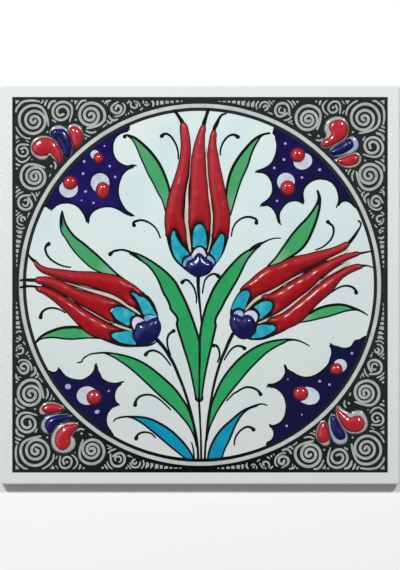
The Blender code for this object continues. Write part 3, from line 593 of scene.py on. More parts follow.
# The enamel commas in the corners. Each has its colour, its own outline and the outline of the
# slip it stands on, from the sharp tip round the fat head and back.
COMMAS = {
    "comma_top_left_outer": (
        "red",
        [(-69.8, 60.2), (-68.8, 62), (-69, 65), (-70.3, 68.5), (-72.3, 71.5), (-75, 73.3),
         (-78.2, 73.9), (-81.5, 73), (-83.6, 71), (-84.3, 68.5), (-83.6, 66.2), (-81.5, 64.5), (-79, 64),
         (-76.5, 64.6), (-75.2, 65.6), (-74, 64.8), (-72.4, 62.8), (-71.1, 61)],
        [(-69.6, 59.7), (-68.3, 62), (-68.6, 65.3), (-70, 69), (-72, 72), (-74.8, 74.2),
         (-78.2, 75), (-81.8, 74.2), (-84.4, 72), (-85.2, 69), (-84.8, 66), (-82.8, 63.6), (-79.5, 62.1),
         (-76.5, 62.7), (-75.1, 64.2), (-74.2, 63.3), (-72.8, 61.9), (-71, 60.3)],
    ),
    "comma_top_left_middle": (
        "blue",
        [(-66.2, 63.6), (-64.7, 65.2), (-64.2, 68), (-64.4, 71.5), (-65.2, 74.5), (-66.6, 76.9),
         (-68.4, 78.2), (-71, 78.4), (-73.6, 77.9), (-74.9, 76.2), (-74, 74), (-72, 72), (-70.3, 69.3),
         (-69, 66.5), (-67.9, 64.4)],
        [(-66.4, 63), (-64, 65), (-63.6, 68.5), (-64, 72), (-64.9, 75.2), (-66.3, 78),
         (-68.5, 79.8), (-71, 80.3), (-73.5, 79.6), (-75.2, 78), (-75.7, 76), (-74.5, 73.8), (-72.5, 71.5),
         (-70.6, 68.5), (-68.7, 64.5)],
    ),
    "comma_top_left_inner": (
        "red",
        [(-61.7, 67.9), (-60.4, 69.2), (-59.1, 71.8), (-58.6, 74.5), (-59.3, 77), (-61, 79),
         (-63.2, 79.7), (-65, 78.8), (-65.8, 77), (-65.2, 74.5), (-64.3, 71.5), (-63.1, 69.1)],
        [(-61.6, 67.4), (-59.9, 69), (-58.5, 71.7), (-57.9, 74.8), (-58.5, 77.6), (-60.3, 80),
         (-63, 81), (-65.5, 80.3), (-66.6, 78.6), (-66, 75), (-64.9, 71.5), (-63.5, 68.8)],
    ),
    "comma_top_right_outer": (
        "red",
        [(60.5, 69.8), (62.3, 68.8), (64.5, 68.9), (67, 70), (70, 71.7), (72.6, 73.6),
         (73.9, 76), (74, 79), (73, 81.3), (71, 82.8), (68.8, 83), (66.3, 82.3), (64.6, 80.8), (64, 78.8),
         (64.6, 77.1), (65.3, 75.8), (64.7, 74.6), (63, 73.2), (61.3, 71.5)],
        [(59.9, 69.9), (61, 68.4), (63.3, 67.9), (66.5, 68.7), (70, 70.6), (73, 72.6),
         (74.6, 75.5), (74.8, 79), (73.8, 82), (71.8, 84), (69, 84.7), (65.8, 84), (63.2, 82), (61.9, 79.3),
         (61.9, 76.8), (62.7, 75), (62, 73.3), (60.6, 71.8)],
    ),
    "comma_top_right_middle": (
        "blue",
        [(64.6, 65.9), (66.5, 64.7), (69, 64.8), (72, 65.5), (74.8, 66.8), (76.6, 68.3),
         (77.3, 70.3), (76.7, 72), (75, 73.3), (73.2, 72.7), (71.3, 71.3), (69, 70), (66.8, 68.6),
         (65.2, 67.3)],
        [(64.1, 65.8), (66, 64.1), (69.5, 63.8), (73, 64.6), (76, 65.4), (78.3, 66.8),
         (79.7, 69), (79.6, 71.5), (78.3, 73.6), (76.3, 74.8), (74.5, 74.3), (72, 72.4), (68.5, 70.4),
         (65.3, 68.4)],
    ),
    "comma_top_right_inner": (
        "red",
        [(67.5, 61.8), (69.5, 60.6), (72, 59.5), (74.8, 59.2), (77.5, 59.9), (79.5, 61.4),
         (80, 63.3), (79.3, 65), (77.5, 65.6), (75, 65.1), (72.3, 64.1), (69.5, 63.1)],
        [(66.8, 61.8), (69, 60), (72, 58.4), (75, 58), (78.3, 58.8), (80.6, 60.8), (81.2, 63.3),
         (80.3, 65.5), (78.5, 66.7), (75.5, 66.1), (72, 64.9), (69, 63.9), (67.3, 62.8)],
    ),
    "comma_bottom_left_inner": (
        "red",
        [(-67.7, -62.3), (-69, -61), (-71.3, -59.9), (-74, -59.3), (-76.8, -59.6), (-79, -61),
         (-79.5, -62.6), (-78.3, -64), (-76, -64.5), (-73, -64.3), (-70.5, -63.8), (-68.7, -63.2)],
        [(-67, -62.3), (-68.5, -60.4), (-71.3, -58.9), (-74.3, -58.2), (-77.6, -58.7),
         (-80, -60.6), (-80.9, -62.8), (-80.4, -64.8), (-79, -65.5), (-77, -65.2), (-73, -65.1),
         (-70, -64.5)],
    ),
    "comma_bottom_left_middle": (
        "blue",
        [(-64, -65.8), (-66, -65.1), (-69, -65), (-72.5, -65.4), (-75.5, -66.4), (-77.5, -68.2),
         (-78, -70.5), (-77.2, -72.8), (-75.5, -74.4), (-74, -73.6), (-72.6, -71.3), (-70.5, -69.4),
         (-68, -68.2), (-65.8, -67.3)],
        [(-63.4, -65.7), (-66, -64.5), (-69, -64.3), (-73, -64.6), (-76.5, -65.5),
         (-79.2, -67.8), (-80, -70.8), (-79.2, -73.3), (-77, -74.9), (-74.8, -75), (-73.3, -73.4),
         (-71.5, -71), (-69, -69.3), (-66, -68.2)],
    ),
    "comma_bottom_left_outer": (
        "red",
        [(-60.5, -70.4), (-62, -69.5), (-65, -69.6), (-67.8, -70.2), (-70.3, -71.8),
         (-72.2, -74.2), (-73, -77), (-72.7, -80), (-71.2, -82.3), (-69, -83.2), (-66.8, -82.6),
         (-65, -80.8), (-64.3, -78.5), (-64.5, -76.3), (-63.9, -74.8), (-62.8, -73.3), (-61.3, -71.8)],
        [(-60.2, -70.6), (-61, -69), (-63.5, -68.4), (-67, -68.7), (-70.5, -70), (-73.3, -72.7),
         (-74.8, -76.2), (-74.7, -80), (-73, -83.2), (-70, -84.6), (-66.5, -84.6), (-63.5, -83),
         (-61.9, -80.3), (-62.3, -77.3), (-63.4, -75.8), (-62.4, -74.2), (-61, -72.5)],
    ),
    "comma_bottom_right_inner": (
        "red",
        [(61.8, -67.8), (63, -69.3), (63.8, -71.5), (64.6, -74), (64.8, -76.5), (64.2, -78.3),
         (62.5, -79.4), (60.5, -79), (58.9, -77.3), (58.4, -75), (58.8, -72.5), (59.9, -70)],
        [(61.8, -67.2), (63.6, -69), (64.5, -71.7), (65.2, -74.5), (65.4, -77.5), (65.2, -79.8),
         (63.8, -81), (61.5, -80.8), (59.3, -79), (57.8, -76.8), (57.6, -74), (58.4, -71), (60, -68.6)],
    ),
    "comma_bottom_right_middle": (
        "blue",
        [(66.2, -64.8), (67.8, -66), (69, -68), (70.3, -70.5), (71.8, -72.8), (72.9, -75),
         (72.8, -77), (71, -78), (69, -77.8), (67.3, -76.3), (66, -74), (65.2, -71.3), (65, -68.5),
         (65.3, -66.2)],
        [(66, -64.2), (68.2, -65.6), (69.6, -68), (71, -70.5), (72.9, -73), (74.2, -75),
         (74.4, -77.5), (73.2, -79.6), (70.8, -80.5), (68, -80), (66, -78), (64.9, -75.2), (64.2, -72),
         (63.7, -69), (64.4, -66.3)],
    ),
    "comma_bottom_right_outer": (
        "red",
        [(68.5, -60.3), (69.8, -61.8), (71.5, -63.5), (73.5, -64.8), (75.3, -66), (76.8, -65.5),
         (78.8, -65), (80.8, -65.7), (82.3, -67.6), (82.8, -69.8), (82, -72), (80, -73.5), (77, -73.9),
         (74.3, -73.3), (72, -71.5), (70.3, -69), (69, -66), (68.3, -63)],
        [(68.3, -59.8), (70.2, -61), (72, -62.3), (74, -63.4), (75.4, -63.8), (76.6, -63),
         (79, -62.4), (81.7, -63.3), (83.6, -66), (84.5, -69), (83.9, -72), (81.7, -74.2), (78, -75.1),
         (74.4, -74.6), (71.6, -72.6), (69.5, -69.6), (68, -66), (67.7, -62)],
    ),
}

# What a comma of each colour is made of: its enamel and its slip.
COMMA_PAINTS = {"red": ("red_drops", "grey_slip"), "blue": ("blue_enamel", "blue_slip")}

# x, y and the two half widths of each berry in relief.
BERRIES = [
    (-50.8, 63.4, 2.3, 2.6), (-65, 51.1, 3.4, 3.3), (-48.7, 47.2, 3.3, 4.0), (48.9, 65, 3.5, 3.5),
    (43.9, 48.4, 3.5, 3.6), (-53, -56.4, 3.6, 3.6), (50.4, -54.5, 3.6, 3.4), (68.2, -42.3, 2.9, 2.8),
]

# x, y, the two half widths and the turn in degrees of the pale oval beside each berry.
BERRY_OVALS = [
    (-52.6, 65.2, 2.2, 2.2, 0), (-65.8, 48, 4.6, 4.3, 0), (-50, 51, 4.6, 4.8, 0),
    (51.5, 61.8, 4.7, 4.0, 20), (43, 51.6, 4.4, 4.4, 0), (-56.5, -55.5, 5.2, 4.6, 0),
    (54.3, -55.6, 5.6, 4.3, -15), (70.2, -40.4, 3.3, 3.2, 0),
]

# Pale dots in the cobalt: x, y, half widths and turn in degrees.
DOTS = [
    (-58, 61.7, 0.7, 0.7, 0), (-58.5, 55.6, 0.7, 0.7, 0), (-57.3, 46.7, 0.78, 0.55, 30),
    (-45.2, 59.4, 0.62, 0.62, 0), (-42.5, 54, 0.62, 0.62, 0), (-53.3, 41, 0.62, 0.55, 0),
    (42.7, 70.7, 0.7, 0.62, 0), (42, 62.7, 0.7, 0.7, 0), (37.2, 58.5, 0.62, 0.62, 0),
    (51, 53.7, 0.7, 0.62, 0), (59.9, 57.6, 0.7, 0.7, 0), (38.5, 42, 0.62, 0.62, 0),
    (-66.1, -51, 1.5, 1.3, 0), (-51.5, -63.6, 1.3, 0.9, 20), (-45.7, -53.2, 0.55, 0.55, 0),
    (76, -34.3, 0.7, 0.62, 0), (59.9, -48.3, 0.7, 0.62, 0), (64.8, -50, 0.62, 0.62, 0),
    (43.4, -70.6, 0.62, 0.62, 0), (-47.8, 69.5, 0.39, 0.39, 0), (-59.3, 42.2, 0.39, 0.39, 0),
    (51, -65, 0.39, 0.39, 0), (44, -47.3, 0.39, 0.39, 0),
]

# The border's drawing stands here as it is in the top left corner, and quarter turns carry it to
# the other three. Its spirals wind anticlockwise inwards. Each has its x, its y, the angle of its
# outer end in degrees, the brush's half width there and beyond, and how far the line is from the
# middle after each quarter turn.
CORNER_SPIRALS = [
    (-83, 82.4, -20, 0.4, 0.68, (7.6, 7.4, 7.6, 6.9, 5.7, 4.6, 4.4, 4.1, 3.0, 2.0, 1.8, 1.5, 0.7)),
    (-69.3, 86.4, -50, 0.3, 0.62, (6.2, 5.7, 4.7, 4.3, 3.7, 3.2, 2.5, 2.1, 1.4)),
    (-54.7, 84.8, 255, 0.5, 0.72, (6.7, 7.1, 6.3, 5.7, 5.0, 4.0, 3.6, 3.3, 2.6, 1.8, 1.1, 0.8)),
    (-41.3, 88, 85, 0.3, 0.62, (3.6, 3.1, 2.1, 1.9, 1.7, 0.9)),
    (-88.6, 67, 48, 0.4, 0.5, (4.0, 3.5, 2.8, 2.7, 2.0, 1.5)),
    (-83, 54.2, 40, 0.4, 0.68, (6.9, 6.8, 6.5, 5.8, 5.1, 4.1, 3.6, 3.5, 2.9, 1.9, 1.5, 1.5, 1.2)),
    (-87.4, 41.2, 55, 0.4, 0.6, (4.4, 3.6, 3.5, 3.6, 2.8)),
]

# The border's other brush lines, each with its half width in front, which narrows at both ends
# towards this share of itself.
BORDER_LINE_END = 0.6
CORNER_LINES = [
    (0.55, [(-92.1, 86.7), (-91.8, 88.1), (-90.6, 89.7), (-89.2, 91.2), (-87.4, 91.9),
            (-84.9, 92.2), (-82.3, 92.1), (-80.4, 91.7)]),
    (0.55, [(-78.6, 92.2), (-79.3, 91)]),
    (0.55, [(-76.6, 92.2), (-77.3, 91), (-77.6, 89.8)]),
    (0.65, [(-72.6, 92), (-74.4, 91.4), (-75.4, 90), (-75.9, 88.4)]),
    (0.45, [(-92.1, 78.7), (-91.2, 77), (-90, 75.4), (-88.1, 73.9), (-86.4, 73.3), (-85.1, 73.3)]),
    (0.5, [(-73.8, 82.4), (-72.4, 81.6)]),
    (0.55, [(-61.8, 88), (-60.8, 90.2), (-59.2, 91.9), (-57.2, 92.2)]),
    (0.45, [(-57, 77), (-54.6, 76.1), (-52.2, 76.6)]),
    (0.35, [(-57.7, 75.3), (-56.5, 74.5), (-55.2, 74.3)]),
    (0.4, [(-48.5, 79), (-46.7, 80.4)]),
    (0.5, [(-46.4, 82.2), (-45.5, 81.1), (-44.2, 81.4)]),
    (0.6, [(-45.6, 84.4), (-44.2, 82.6), (-43, 82.3), (-41.4, 82.9)]),
    (0.5, [(-47.6, 90.8), (-46.6, 91.8), (-44.9, 92.1)]),
    (0.3, [(-46.4, 89.8), (-46.2, 91.2)]),
    (0.45, [(-38.7, 90.8), (-37.9, 90), (-37.6, 88.4), (-37.9, 86.9), (-38.9, 85.5), (-40.6, 84.5),
            (-42.8, 84.2)]),
    (0.5, [(-35.3, 92), (-36.3, 91)]),
    (0.45, [(-34.8, 87), (-33.7, 86.2)]),
    (0.5, [(-34.6, 91.3), (-34.6, 89.9), (-34, 88.9), (-32.9, 88.5), (-31.8, 89), (-31.5, 89.9),
           (-32.1, 90.5)]),
    (0.35, [(-31.8, 91.8), (-30.6, 90.8), (-30.1, 89.4)]),
    (0.45, [(-29.8, 87.6), (-28.8, 88.4)]),
    (0.4, [(-28.5, 91), (-28.3, 92)]),
    (0.4, [(-27.7, 90.4), (-26.8, 89.8), (-25.7, 90.4)]),
    (0.5, [(-24, 91.9), (-23.3, 91), (-23.5, 89.5)]),
    (0.35, [(-92, 71.2), (-90.6, 72.2)]),
    (0.35, [(-87, 72.2), (-85.8, 71.4)]),
    (0.45, [(-92.1, 63.4), (-90, 61.6), (-88.4, 61.5), (-86.4, 62.6), (-85.2, 64)]),
    (0.55, [(-92, 60.5), (-91.2, 60), (-90.3, 59.9)]),
    (0.4, [(-74.8, 55.4), (-75.4, 54.3)]),
    (0.45, [(-73, 61.4), (-72.2, 60), (-72.5, 58.2)]),
    (0.5, [(-92, 46.3), (-91.2, 47), (-90.2, 47.6)]),
    (0.4, [(-92.1, 44), (-91, 45.4), (-89.8, 46.1), (-88.7, 46.5)]),
    (0.45, [(-84.2, 45.8), (-83.2, 44.8), (-82.6, 43.6), (-82.3, 42.3)]),
    (0.4, [(-82, 46), (-81.5, 44.3)]),
    (0.3, [(-80.3, 46.5), (-81.2, 44.8)]),
    (0.45, [(-88, 42.1), (-87.2, 42.6), (-86.3, 42.1), (-86, 41), (-86.4, 39.9), (-87.3, 39.5),
            (-88.3, 39.8), (-88.8, 40.5)]),
    (0.4, [(-92, 34.7), (-90.4, 36.2)]),
    (0.5, [(-85.5, 36), (-86, 34.9)]),
    (0.55, [(-88.9, 31.8), (-89.6, 32.4), (-89.5, 33.4), (-88.6, 33.9), (-87.9, 33.5),
            (-87.5, 32.6)]),
    (0.45, [(-89.2, 35), (-90.8, 34.2), (-91.5, 32.6), (-91.2, 31.2), (-90.2, 30.2),
            (-88.8, 29.9)]),
    (0.4, [(-91.8, 29.3), (-90.8, 28.5), (-89.5, 28.1), (-88, 28.5)]),
]

# The border's small wedges, crescents and dwindling blocks, as closed outlines.
CORNER_PATCHES = [
    [(-92.4, 92.3), (-90.2, 92.3), (-92.2, 90.3)],
    [(-92.2, 75.1), (-92.2, 72.7), (-90.3, 73.6)],
    [(-63.2, 92.2), (-61, 92.2), (-62.6, 90)],
    [(-21.7, 92.2), (-20.9, 92.2), (-20.6, 90), (-22, 90)],
    [(-20, 92.1), (-18.4, 92.1), (-18.2, 90.3), (-20, 90.3)],
    [(-17.4, 92.1), (-15.6, 92.1), (-15.7, 90.7), (-17.3, 90.7)],
    [(-14.9, 92.1), (-13.2, 92.1), (-13.3, 91), (-14.8, 91)],
    [(-12.1, 92.2), (-10.7, 92.2), (-10.8, 91.4), (-12, 91.4)],
    [(-9.7, 92.1), (-8.7, 92.1), (-8.8, 91.6), (-9.6, 91.6)],
    [(-92.2, 27.4), (-88.7, 26.9), (-89.2, 25.5), (-91, 25.5)],
    [(-92.2, 24.8), (-89.1, 24.7), (-89.5, 23.3), (-90.8, 23.4)],
    [(-92.2, 22.7), (-89.7, 22.3), (-89.9, 20.8), (-91.8, 20.8)],
    [(-92.2, 20.1), (-90.2, 20), (-90.4, 18.7), (-91.9, 18.7)],
    [(-92.2, 17.9), (-90.8, 17.8), (-90.9, 16), (-92, 16)],
    [(-92.1, 15.2), (-91.2, 15.1), (-91.3, 13.8), (-92, 13.8)],
    [(-92, 13), (-91.5, 13), (-91.5, 11.2), (-92, 11.2)],
    [(-92, 10.4), (-91.6, 10.4), (-91.6, 9.2), (-92, 9.2)],
]

# The border's dots: x, y and radius.
CORNER_DOTS = [
    (-76.4, 76.5, 0.5), (-62.2, 82.6, 0.5), (-64.2, 92, 0.5), (-57.2, 73.3, 0.5), (-48.6, 91.8, 0.5),
    (-35.7, 85.8, 0.5), (-37, 85, 0.4), (-32.8, 91.8, 0.5), (-26.8, 91.3, 0.55), (-91.8, 58.2, 0.5),
    (-74.5, 59.3, 0.6), (-84.1, 62.6, 0.3), (-91.6, 48.8, 0.6), (-91.8, 36.8, 0.5), (-86.3, 34, 0.3),
    (-88.8, 66.6, 0.65),
]

# The lamps' names, places and widths in metres and powers in watts, and how bright the sky is.
LAMPS = [
    ("lamp_left", (-0.66, 0.78, 1.3), 0.22, 16.3),
    ("lamp_right", (0.66, 0.78, 1.3), 0.18, 11.8),
    ("soft_box_left", (-1.1, 0.0, 1.0), 1.2, 2.2),
]
SKY_STRENGTH = 0.14

# The floor's side in metres, and its paper.
FLOOR_SIDE = 6
PAPER_SHADE = 0.97
PAPER_ROUGHNESS = 0.9

# The camera's height over the face in metres, the width in mm that its frame shows, how far below
# the tile's middle it stands in mm, and its sensor.
CAMERA_HEIGHT = 2.0
FRAME_WIDTH_MM = 200.24
VIEW_SHIFT_MM = 0.125
SENSOR_WIDTH = 36


def only(piece):
    """Selects this one piece and makes it the active one."""
    bpy.ops.object.select_all(action="DESELECT")
    piece.select_set(True)
    bpy.context.view_layer.objects.active = piece


def srgb(code):
    """A hex colour as the linear values that a shader takes."""
    parts = [int(code[place:place + 2], 16) / 255 for place in (1, 3, 5)]
    linear = [part / 12.92 if part <= 0.04045 else ((part + 0.055) / 1.055) ** 2.4 for part in parts]
    return (*linear, 1)


def add_node(tree, kind, settings, links):
    """Adds a node. A setting is an input's value or the node's own property, and a link names the
    output that feeds an input. An input is given by its name or its number."""
    made = tree.nodes.new(kind)
    for name, value in settings.items():
        if isinstance(name, int) or name in made.inputs:
            made.inputs[name].default_value = value
        else:
            setattr(made, name, value)
    for name, output in links.items():
        tree.links.new(output, made.inputs[name])
    return made


def fired_surface(name, shades, patch, roughness=0.16, ripple=0.02, ripple_size=3.0,
                  by_height=None, fades=(), coat=(0.0, 0.1), shine=0.5):
    """A fired surface. Its shades drift over patches of this size in mm, and it ripples a little,
    as a glaze that ran and pooled does. The clear coat over it has a weight and a roughness."""
    material = bpy.data.materials.new(name)
    material.use_nodes = True
    tree = material.node_tree
    shader = tree.nodes["Principled BSDF"]
    shader.inputs["Roughness"].default_value = roughness
    shader.inputs["IOR"].default_value = GLAZE_IOR
    shader.inputs["Specular IOR Level"].default_value = shine
    shader.inputs["Coat Weight"].default_value = coat[0]
    shader.inputs["Coat Roughness"].default_value = coat[1]
    shader.inputs["Coat IOR"].default_value = COAT_IOR
    place = add_node(tree, "ShaderNodeTexCoord", {}, {})
    colour = drifting_colour(tree, place, shades, patch)
    if by_height:
        colour = tinted_by_height(tree, place, colour, *by_height)
    for fade in fades:
        colour = faded(tree, place, colour, *fade)
    tree.links.new(colour, shader.inputs["Base Color"])
    waves = add_node(
        tree, "ShaderNodeTexNoise", {"Scale": 1 / (ripple_size * MM), "Detail": 1.0},
        {"Vector": place.outputs["Object"]},
    )
    bump = add_node(
        tree, "ShaderNodeBump", {"Strength": 1.0, "Distance": ripple * MM},
        {"Height": waves.outputs["Fac"]},
    )
    tree.links.new(bump.outputs["Normal"], shader.inputs["Normal"])
    return material


def drifting_colour(tree, place, shades, patch):
    """A colour that drifts through the shades over patches of this size in mm."""
    drift = add_node(
        tree, "ShaderNodeTexNoise",
        {"Scale": 1 / (patch * MM), "Detail": DRIFT_DETAIL, "Roughness": DRIFT_ROUGHNESS},
        {"Vector": place.outputs["Object"]},
    )
    step = SHADE_SPREAD / (len(shades) - 1)
    spread = [(FIRST_SHADE + step * number, shade) for number, shade in enumerate(shades)]
    return shade_ramp(tree, drift.outputs["Fac"], spread)


def shade_ramp(tree, factor, spread):
    """A ramp through shades, each given with its place from 0 to 1."""
    ramp = add_node(tree, "ShaderNodeValToRGB", {}, {"Fac": factor})
    stops = ramp.color_ramp.elements
    (stops[0].position, first), (stops[1].position, last) = spread[0], spread[-1]
    stops[0].color = srgb(first)
    stops[1].color = srgb(last)
    for position, shade in spread[1:-1]:
        stops.new(position).color = srgb(shade)
    return ramp.outputs["Color"]


def faded(tree, place, colour, x, y, near, far, shade, most=1.0):
    """Lets a colour pass into another shade between two distances in mm from a place on the face.
    Where near is the greater of the two, the shade lies about the place itself."""
    distance = add_node(
        tree, "ShaderNodeVectorMath", {"operation": "DISTANCE", 1: (x * MM, y * MM, FACE * MM)},
        {0: place.outputs["Object"]},
    )
    share = add_node(
        tree, "ShaderNodeMapRange", {"From Min": near * MM, "From Max": far * MM, "To Max": most},
        {"Value": distance.outputs["Value"]},
    )
    mixed = add_node(
        tree, "ShaderNodeMix", {"data_type": "RGBA", 7: srgb(shade)},
        {0: share.outputs["Result"], 6: colour},
    )
    return mixed.outputs[2]


def tinted_by_height(tree, place, colour, top, spread):
    """Multiplies a colour by a shade that follows the height over the face, up to top in mm: how thick
    the enamel or slip lies, and on the red enamel painted shade and sheen as well.
    """
    parts = add_node(tree, "ShaderNodeSeparateXYZ", {}, {"Vector": place.outputs["Object"]})
    share = add_node(
        tree, "ShaderNodeMapRange", {"From Min": FACE * MM, "From Max": (FACE + top) * MM},
        {"Value": parts.outputs["Z"]},
    )
    mixed = add_node(
        tree, "ShaderNodeMix", {"data_type": "RGBA", "blend_type": "MULTIPLY", 0: 1.0},
        {6: colour, 7: shade_ramp(tree, share.outputs["Result"], spread)},
    )
    return mixed.outputs[2]


def paints():
    """Every clay, glaze, slip and enamel of the tile, by a short name."""
    paint = {}
    # Tin-white glaze: a milky, faintly bluish white that varies a little where it ran, and warmer
    # outside the border. It is greyer towards the foot: painted shade, where the lamps beyond the top
    # edge light it less.
    paint["white"] = fired_surface(
        "tin_white_glaze", ["#C8DCDE", "#D2E4E3", "#DAE5E1"], 32, roughness=0.14,
        fades=((0, 90, 60, 200, "#D5DAD9"), (0, 0, 84, 96, "#DEE3DF")),
    )
    # Unglazed pressed clay: a matt warm off-white with fine grit.
    paint["clay"] = fired_surface(
        "pressed_biscuit_clay", ["#C9B8A2", "#D2C3AE", "#BFAE98"], 3, roughness=0.85,
        ripple=0.08, ripple_size=0.8,
    )
    # Iron-black underglaze: dense, with a faint green cast under the clear glaze. It is greyer away
    # from the foot: painted sheen, the lamps beyond the top edge glancing off the glaze.
    paint["black"] = fired_surface(
        "iron_black_underglaze", ["#030404", "#060807", "#0A0D0C"], 12,
        fades=((0, -95, 15, 110, "#232928"),), shine=0.3,
    )
    # The same black drawn thickly with a fine brush, so even and dark.
    paint["ink"] = fired_surface("iron_black_ink_line", ["#070A0A", "#0B0F0E", "#111615"], 6, shine=0.4)
    # The same black where red enamel bled into it, so browner, along the petals' rims. Between the
    # petals it is painted shade: the shadow of the relief in the narrow gaps.
    paint["brown"] = fired_surface("red_stained_black_and_painted_shade", ["#1C0C0C", "#2A1212", "#3A1A18"], 3)
    # Copper-green underglaze: a clear mid green, paler where it was brushed out thin.
    paint["green"] = fired_surface(
        "copper_green_underglaze", ["#229755", "#279B59", "#2F9F60"], 9,
        fades=((0, -25, 30, 110, "#53A36C"),) + LEAF_TINTS,
    )
    # Cobalt underglaze: a deep violet blue, darker away from the top left corner.
    paint["cobalt"] = fired_surface(
        "cobalt_underglaze", ["#0C0640", "#140C52", "#1E1468"], 12,
        fades=((-60, 70, 20, 190, "#0A0734"),),
    )
    # Copper-turquoise underglaze: bright and thin, so it shows the brush.
    paint["turquoise"] = fired_surface("copper_turquoise_underglaze", ["#148EAA", "#25A2B9", "#45B6C4"], 4)
    # Cerulean underglaze: a strong, nearly even sky blue.
    paint["blue"] = fired_surface("cerulean_underglaze", ["#0084AA", "#038DB2", "#0E98BA"], 10)
    # Pale slip: a chalky grey-white band.
    paint["pale"] = fired_surface("pale_grey_slip", ["#B4BBB8", "#BEC4C2", "#C8CECC"], 6)
    # The same slip where the brush was nearly dry, so the black dulls it.
    paint["thin_pale"] = fired_surface("thin_pale_slip", ["#9AA19E", "#A7AEAA", "#B4BBB7"], 5)
    # Glaze left bare between the petals: a warm cream, because the red stained it.
    paint["cream"] = fired_surface("bare_cream_glaze", ["#BFAFA2", "#CCBFB3", "#D6CEC5"], 5)
    # Lilac slip: a soft violet white behind the hearts.
    paint["lilac"] = fired_surface("lilac_slip", ["#C3C6DB", "#CED0E1", "#D6D8E5"], 3)
    # Thin cobalt wash: cloudy, from mid blue to nearly white.
    paint["pale_blue"] = fired_surface("thin_cobalt_wash", ["#4F7DB2", "#7FA3CB", "#B4C8E0"], 2)
    # Bluish white slip beside the berries: cool and chalky.
    paint["slip"] = fired_surface("bluish_white_slip", ["#B4C0CC", "#C3CDD8", "#D2DAE3"], 3)
    # The same slip in small dots, which the cobalt under them stained violet.
    paint["dot_slip"] = fired_surface("violet_white_slip", ["#9590C4", "#A5A1CF", "#B4B1DA"], 3)
    # Thin slip that ran out from under the enamel: the black ground shows through its rim.
    rim_shades = (HALO_RISE, [(0.0, "#2A3230"), (0.3, "#8A8F8C"), (0.6, "#F4F4F4"), (1.0, "#FFFFFF")])
    paint["grey_slip"] = fired_surface(
        "thin_grey_slip", ["#A2AAA6", "#AEB2AF", "#B8B4B1"], 4, by_height=rim_shades,
    )
    # The same slip with a little cobalt in it, under the blue commas.
    paint["blue_slip"] = fired_surface(
        "thin_blue_slip", ["#8E9FAF", "#9FAFBD", "#ABB9C5"], 4, by_height=rim_shades,
    )
    # Red bole enamel: opaque iron red, deep where it lies thick. Its dark brown rim is partly the
    # black bed under thin enamel and partly painted shade at the relief's foot, and the brighter band
    # on its slopes is painted sheen.
    red_by_height = (PETAL_RISE, [(0.0, "#40100F"), (0.1, "#7C141C"), (0.3, "#AA1C28"),
                                  (0.65, "#AA1620"), (1.0, "#A20E18")])
    paint["red"] = fired_surface(
        "red_bole_enamel", ["#E2E2E2", "#F2F2F2", "#FFFFFF"], 5, roughness=0.33,
        ripple=0.03, ripple_size=2.0, by_height=red_by_height,
        fades=((0, -40, 66, 120, "#C43A48", 0.6),), coat=(0.26, 0.2), shine=0.12,
    )
    # The same enamel dropped thickly, so glossier and brighter: the commas and the berries. Its dark
    # rim is partly thin enamel and partly painted shade at the drop's foot.
    drop_by_height = (COMMA_RISE, [(0.0, "#5A1018"), (0.26, "#7A141F"), (0.42, "#AE1C2A"),
                                   (0.7, "#BE2230"), (1.0, "#B81C2A")])
    paint["red_drops"] = fired_surface(
        "red_drop_enamel", ["#E6E6E6", "#F4F4F4", "#FFFFFF"], 4, roughness=0.33,
        ripple=0.02, ripple_size=2.0, by_height=drop_by_height, coat=(0.85, 0.12), shine=0.12,
    )
    # Cobalt enamel in relief: a blue so deep that it is nearly black, under a clear gloss.
    paint["blue_enamel"] = fired_surface(
        "cobalt_relief_enamel", ["#090B44", "#0F1056", "#171A68"], 4, roughness=0.33,
        ripple=0.02, ripple_size=3.0, coat=(0.4, 0.14), shine=0.15,
    )
    return paint


def ride_as(piece, material):
    """Gives a finished piece its material and its body."""
    piece.data.materials.clear()
    piece.data.materials.append(material)
    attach(piece, "root")


def new_drawing(name, dimensions):
    """An empty curve to draw splines in."""
    bpy.ops.object.select_all(action="DESELECT")
    bpy.ops.curve.primitive_bezier_curve_add()
    drawing = bpy.context.object
    drawing.name = name
    drawing.data.name = name
    drawing.data.dimensions = dimensions
    drawing.data.splines.clear()
    return drawing


def draw(drawing, points, closed=False, corners=()):
    """Draws one smooth line through the points, in mm. The points numbered in corners stay sharp,
    and a third number is the brush's half width there."""
    spline = drawing.data.splines.new("BEZIER")
    spline.bezier_points.add(len(points) - 1)
    spline.use_cyclic_u = closed
    for number, (knot, point) in enumerate(zip(spline.bezier_points, points)):
        knot.co = (point[0] * MM, point[1] * MM, 0)
        knot.radius = point[2] if len(point) > 2 else 1
        kind = "VECTOR" if number in corners else "AUTO"
        knot.handle_left_type = kind
        knot.handle_right_type = kind


def to_mesh(drawing):
    """Turns a drawing into a closed mesh, its doubles merged and its faces outwards."""
    only(drawing)
    bpy.ops.object.convert(target="MESH")
    piece = bpy.context.object
    bpy.ops.object.mode_set(mode="EDIT")
    bpy.ops.mesh.select_all(action="SELECT")
    bpy.ops.mesh.remove_doubles(threshold=MERGED)
    bpy.ops.mesh.normals_make_consistent(inside=False)
    bpy.ops.object.mode_set(mode="OBJECT")
    return piece


def plate(name, outlines, half_depth, steps):
    """A plate inside the outlines, each a list of points and the numbers of its corners. It
    reaches half_depth in mm over and under its middle plane."""
    drawing = new_drawing(name, "2D")
    drawing.data.fill_mode = "BOTH"
    drawing.data.resolution_u = steps
    drawing.data.extrude = half_depth * MM
    for points, corners in outlines:
        draw(drawing, points, closed=True, corners=corners)
    return to_mesh(drawing)


def settle(piece, height):
    """Puts the piece at this height in mm and applies its place to its mesh."""
    only(piece)
    piece.location.z = height * MM
    bpy.ops.object.transform_apply(location=True, rotation=True, scale=True)


def film(name, outlines, level, material):
    """A film of paint inside the outlines. It stands this far over the face and is rooted in the
    glaze."""
    piece = plate(name, outlines, (level + ROOT) / 2, OUTLINE_STEPS)
    bpy.ops.object.shade_flat()
    settle(piece, FACE + (level - ROOT) / 2)
    ride_as(piece, material)


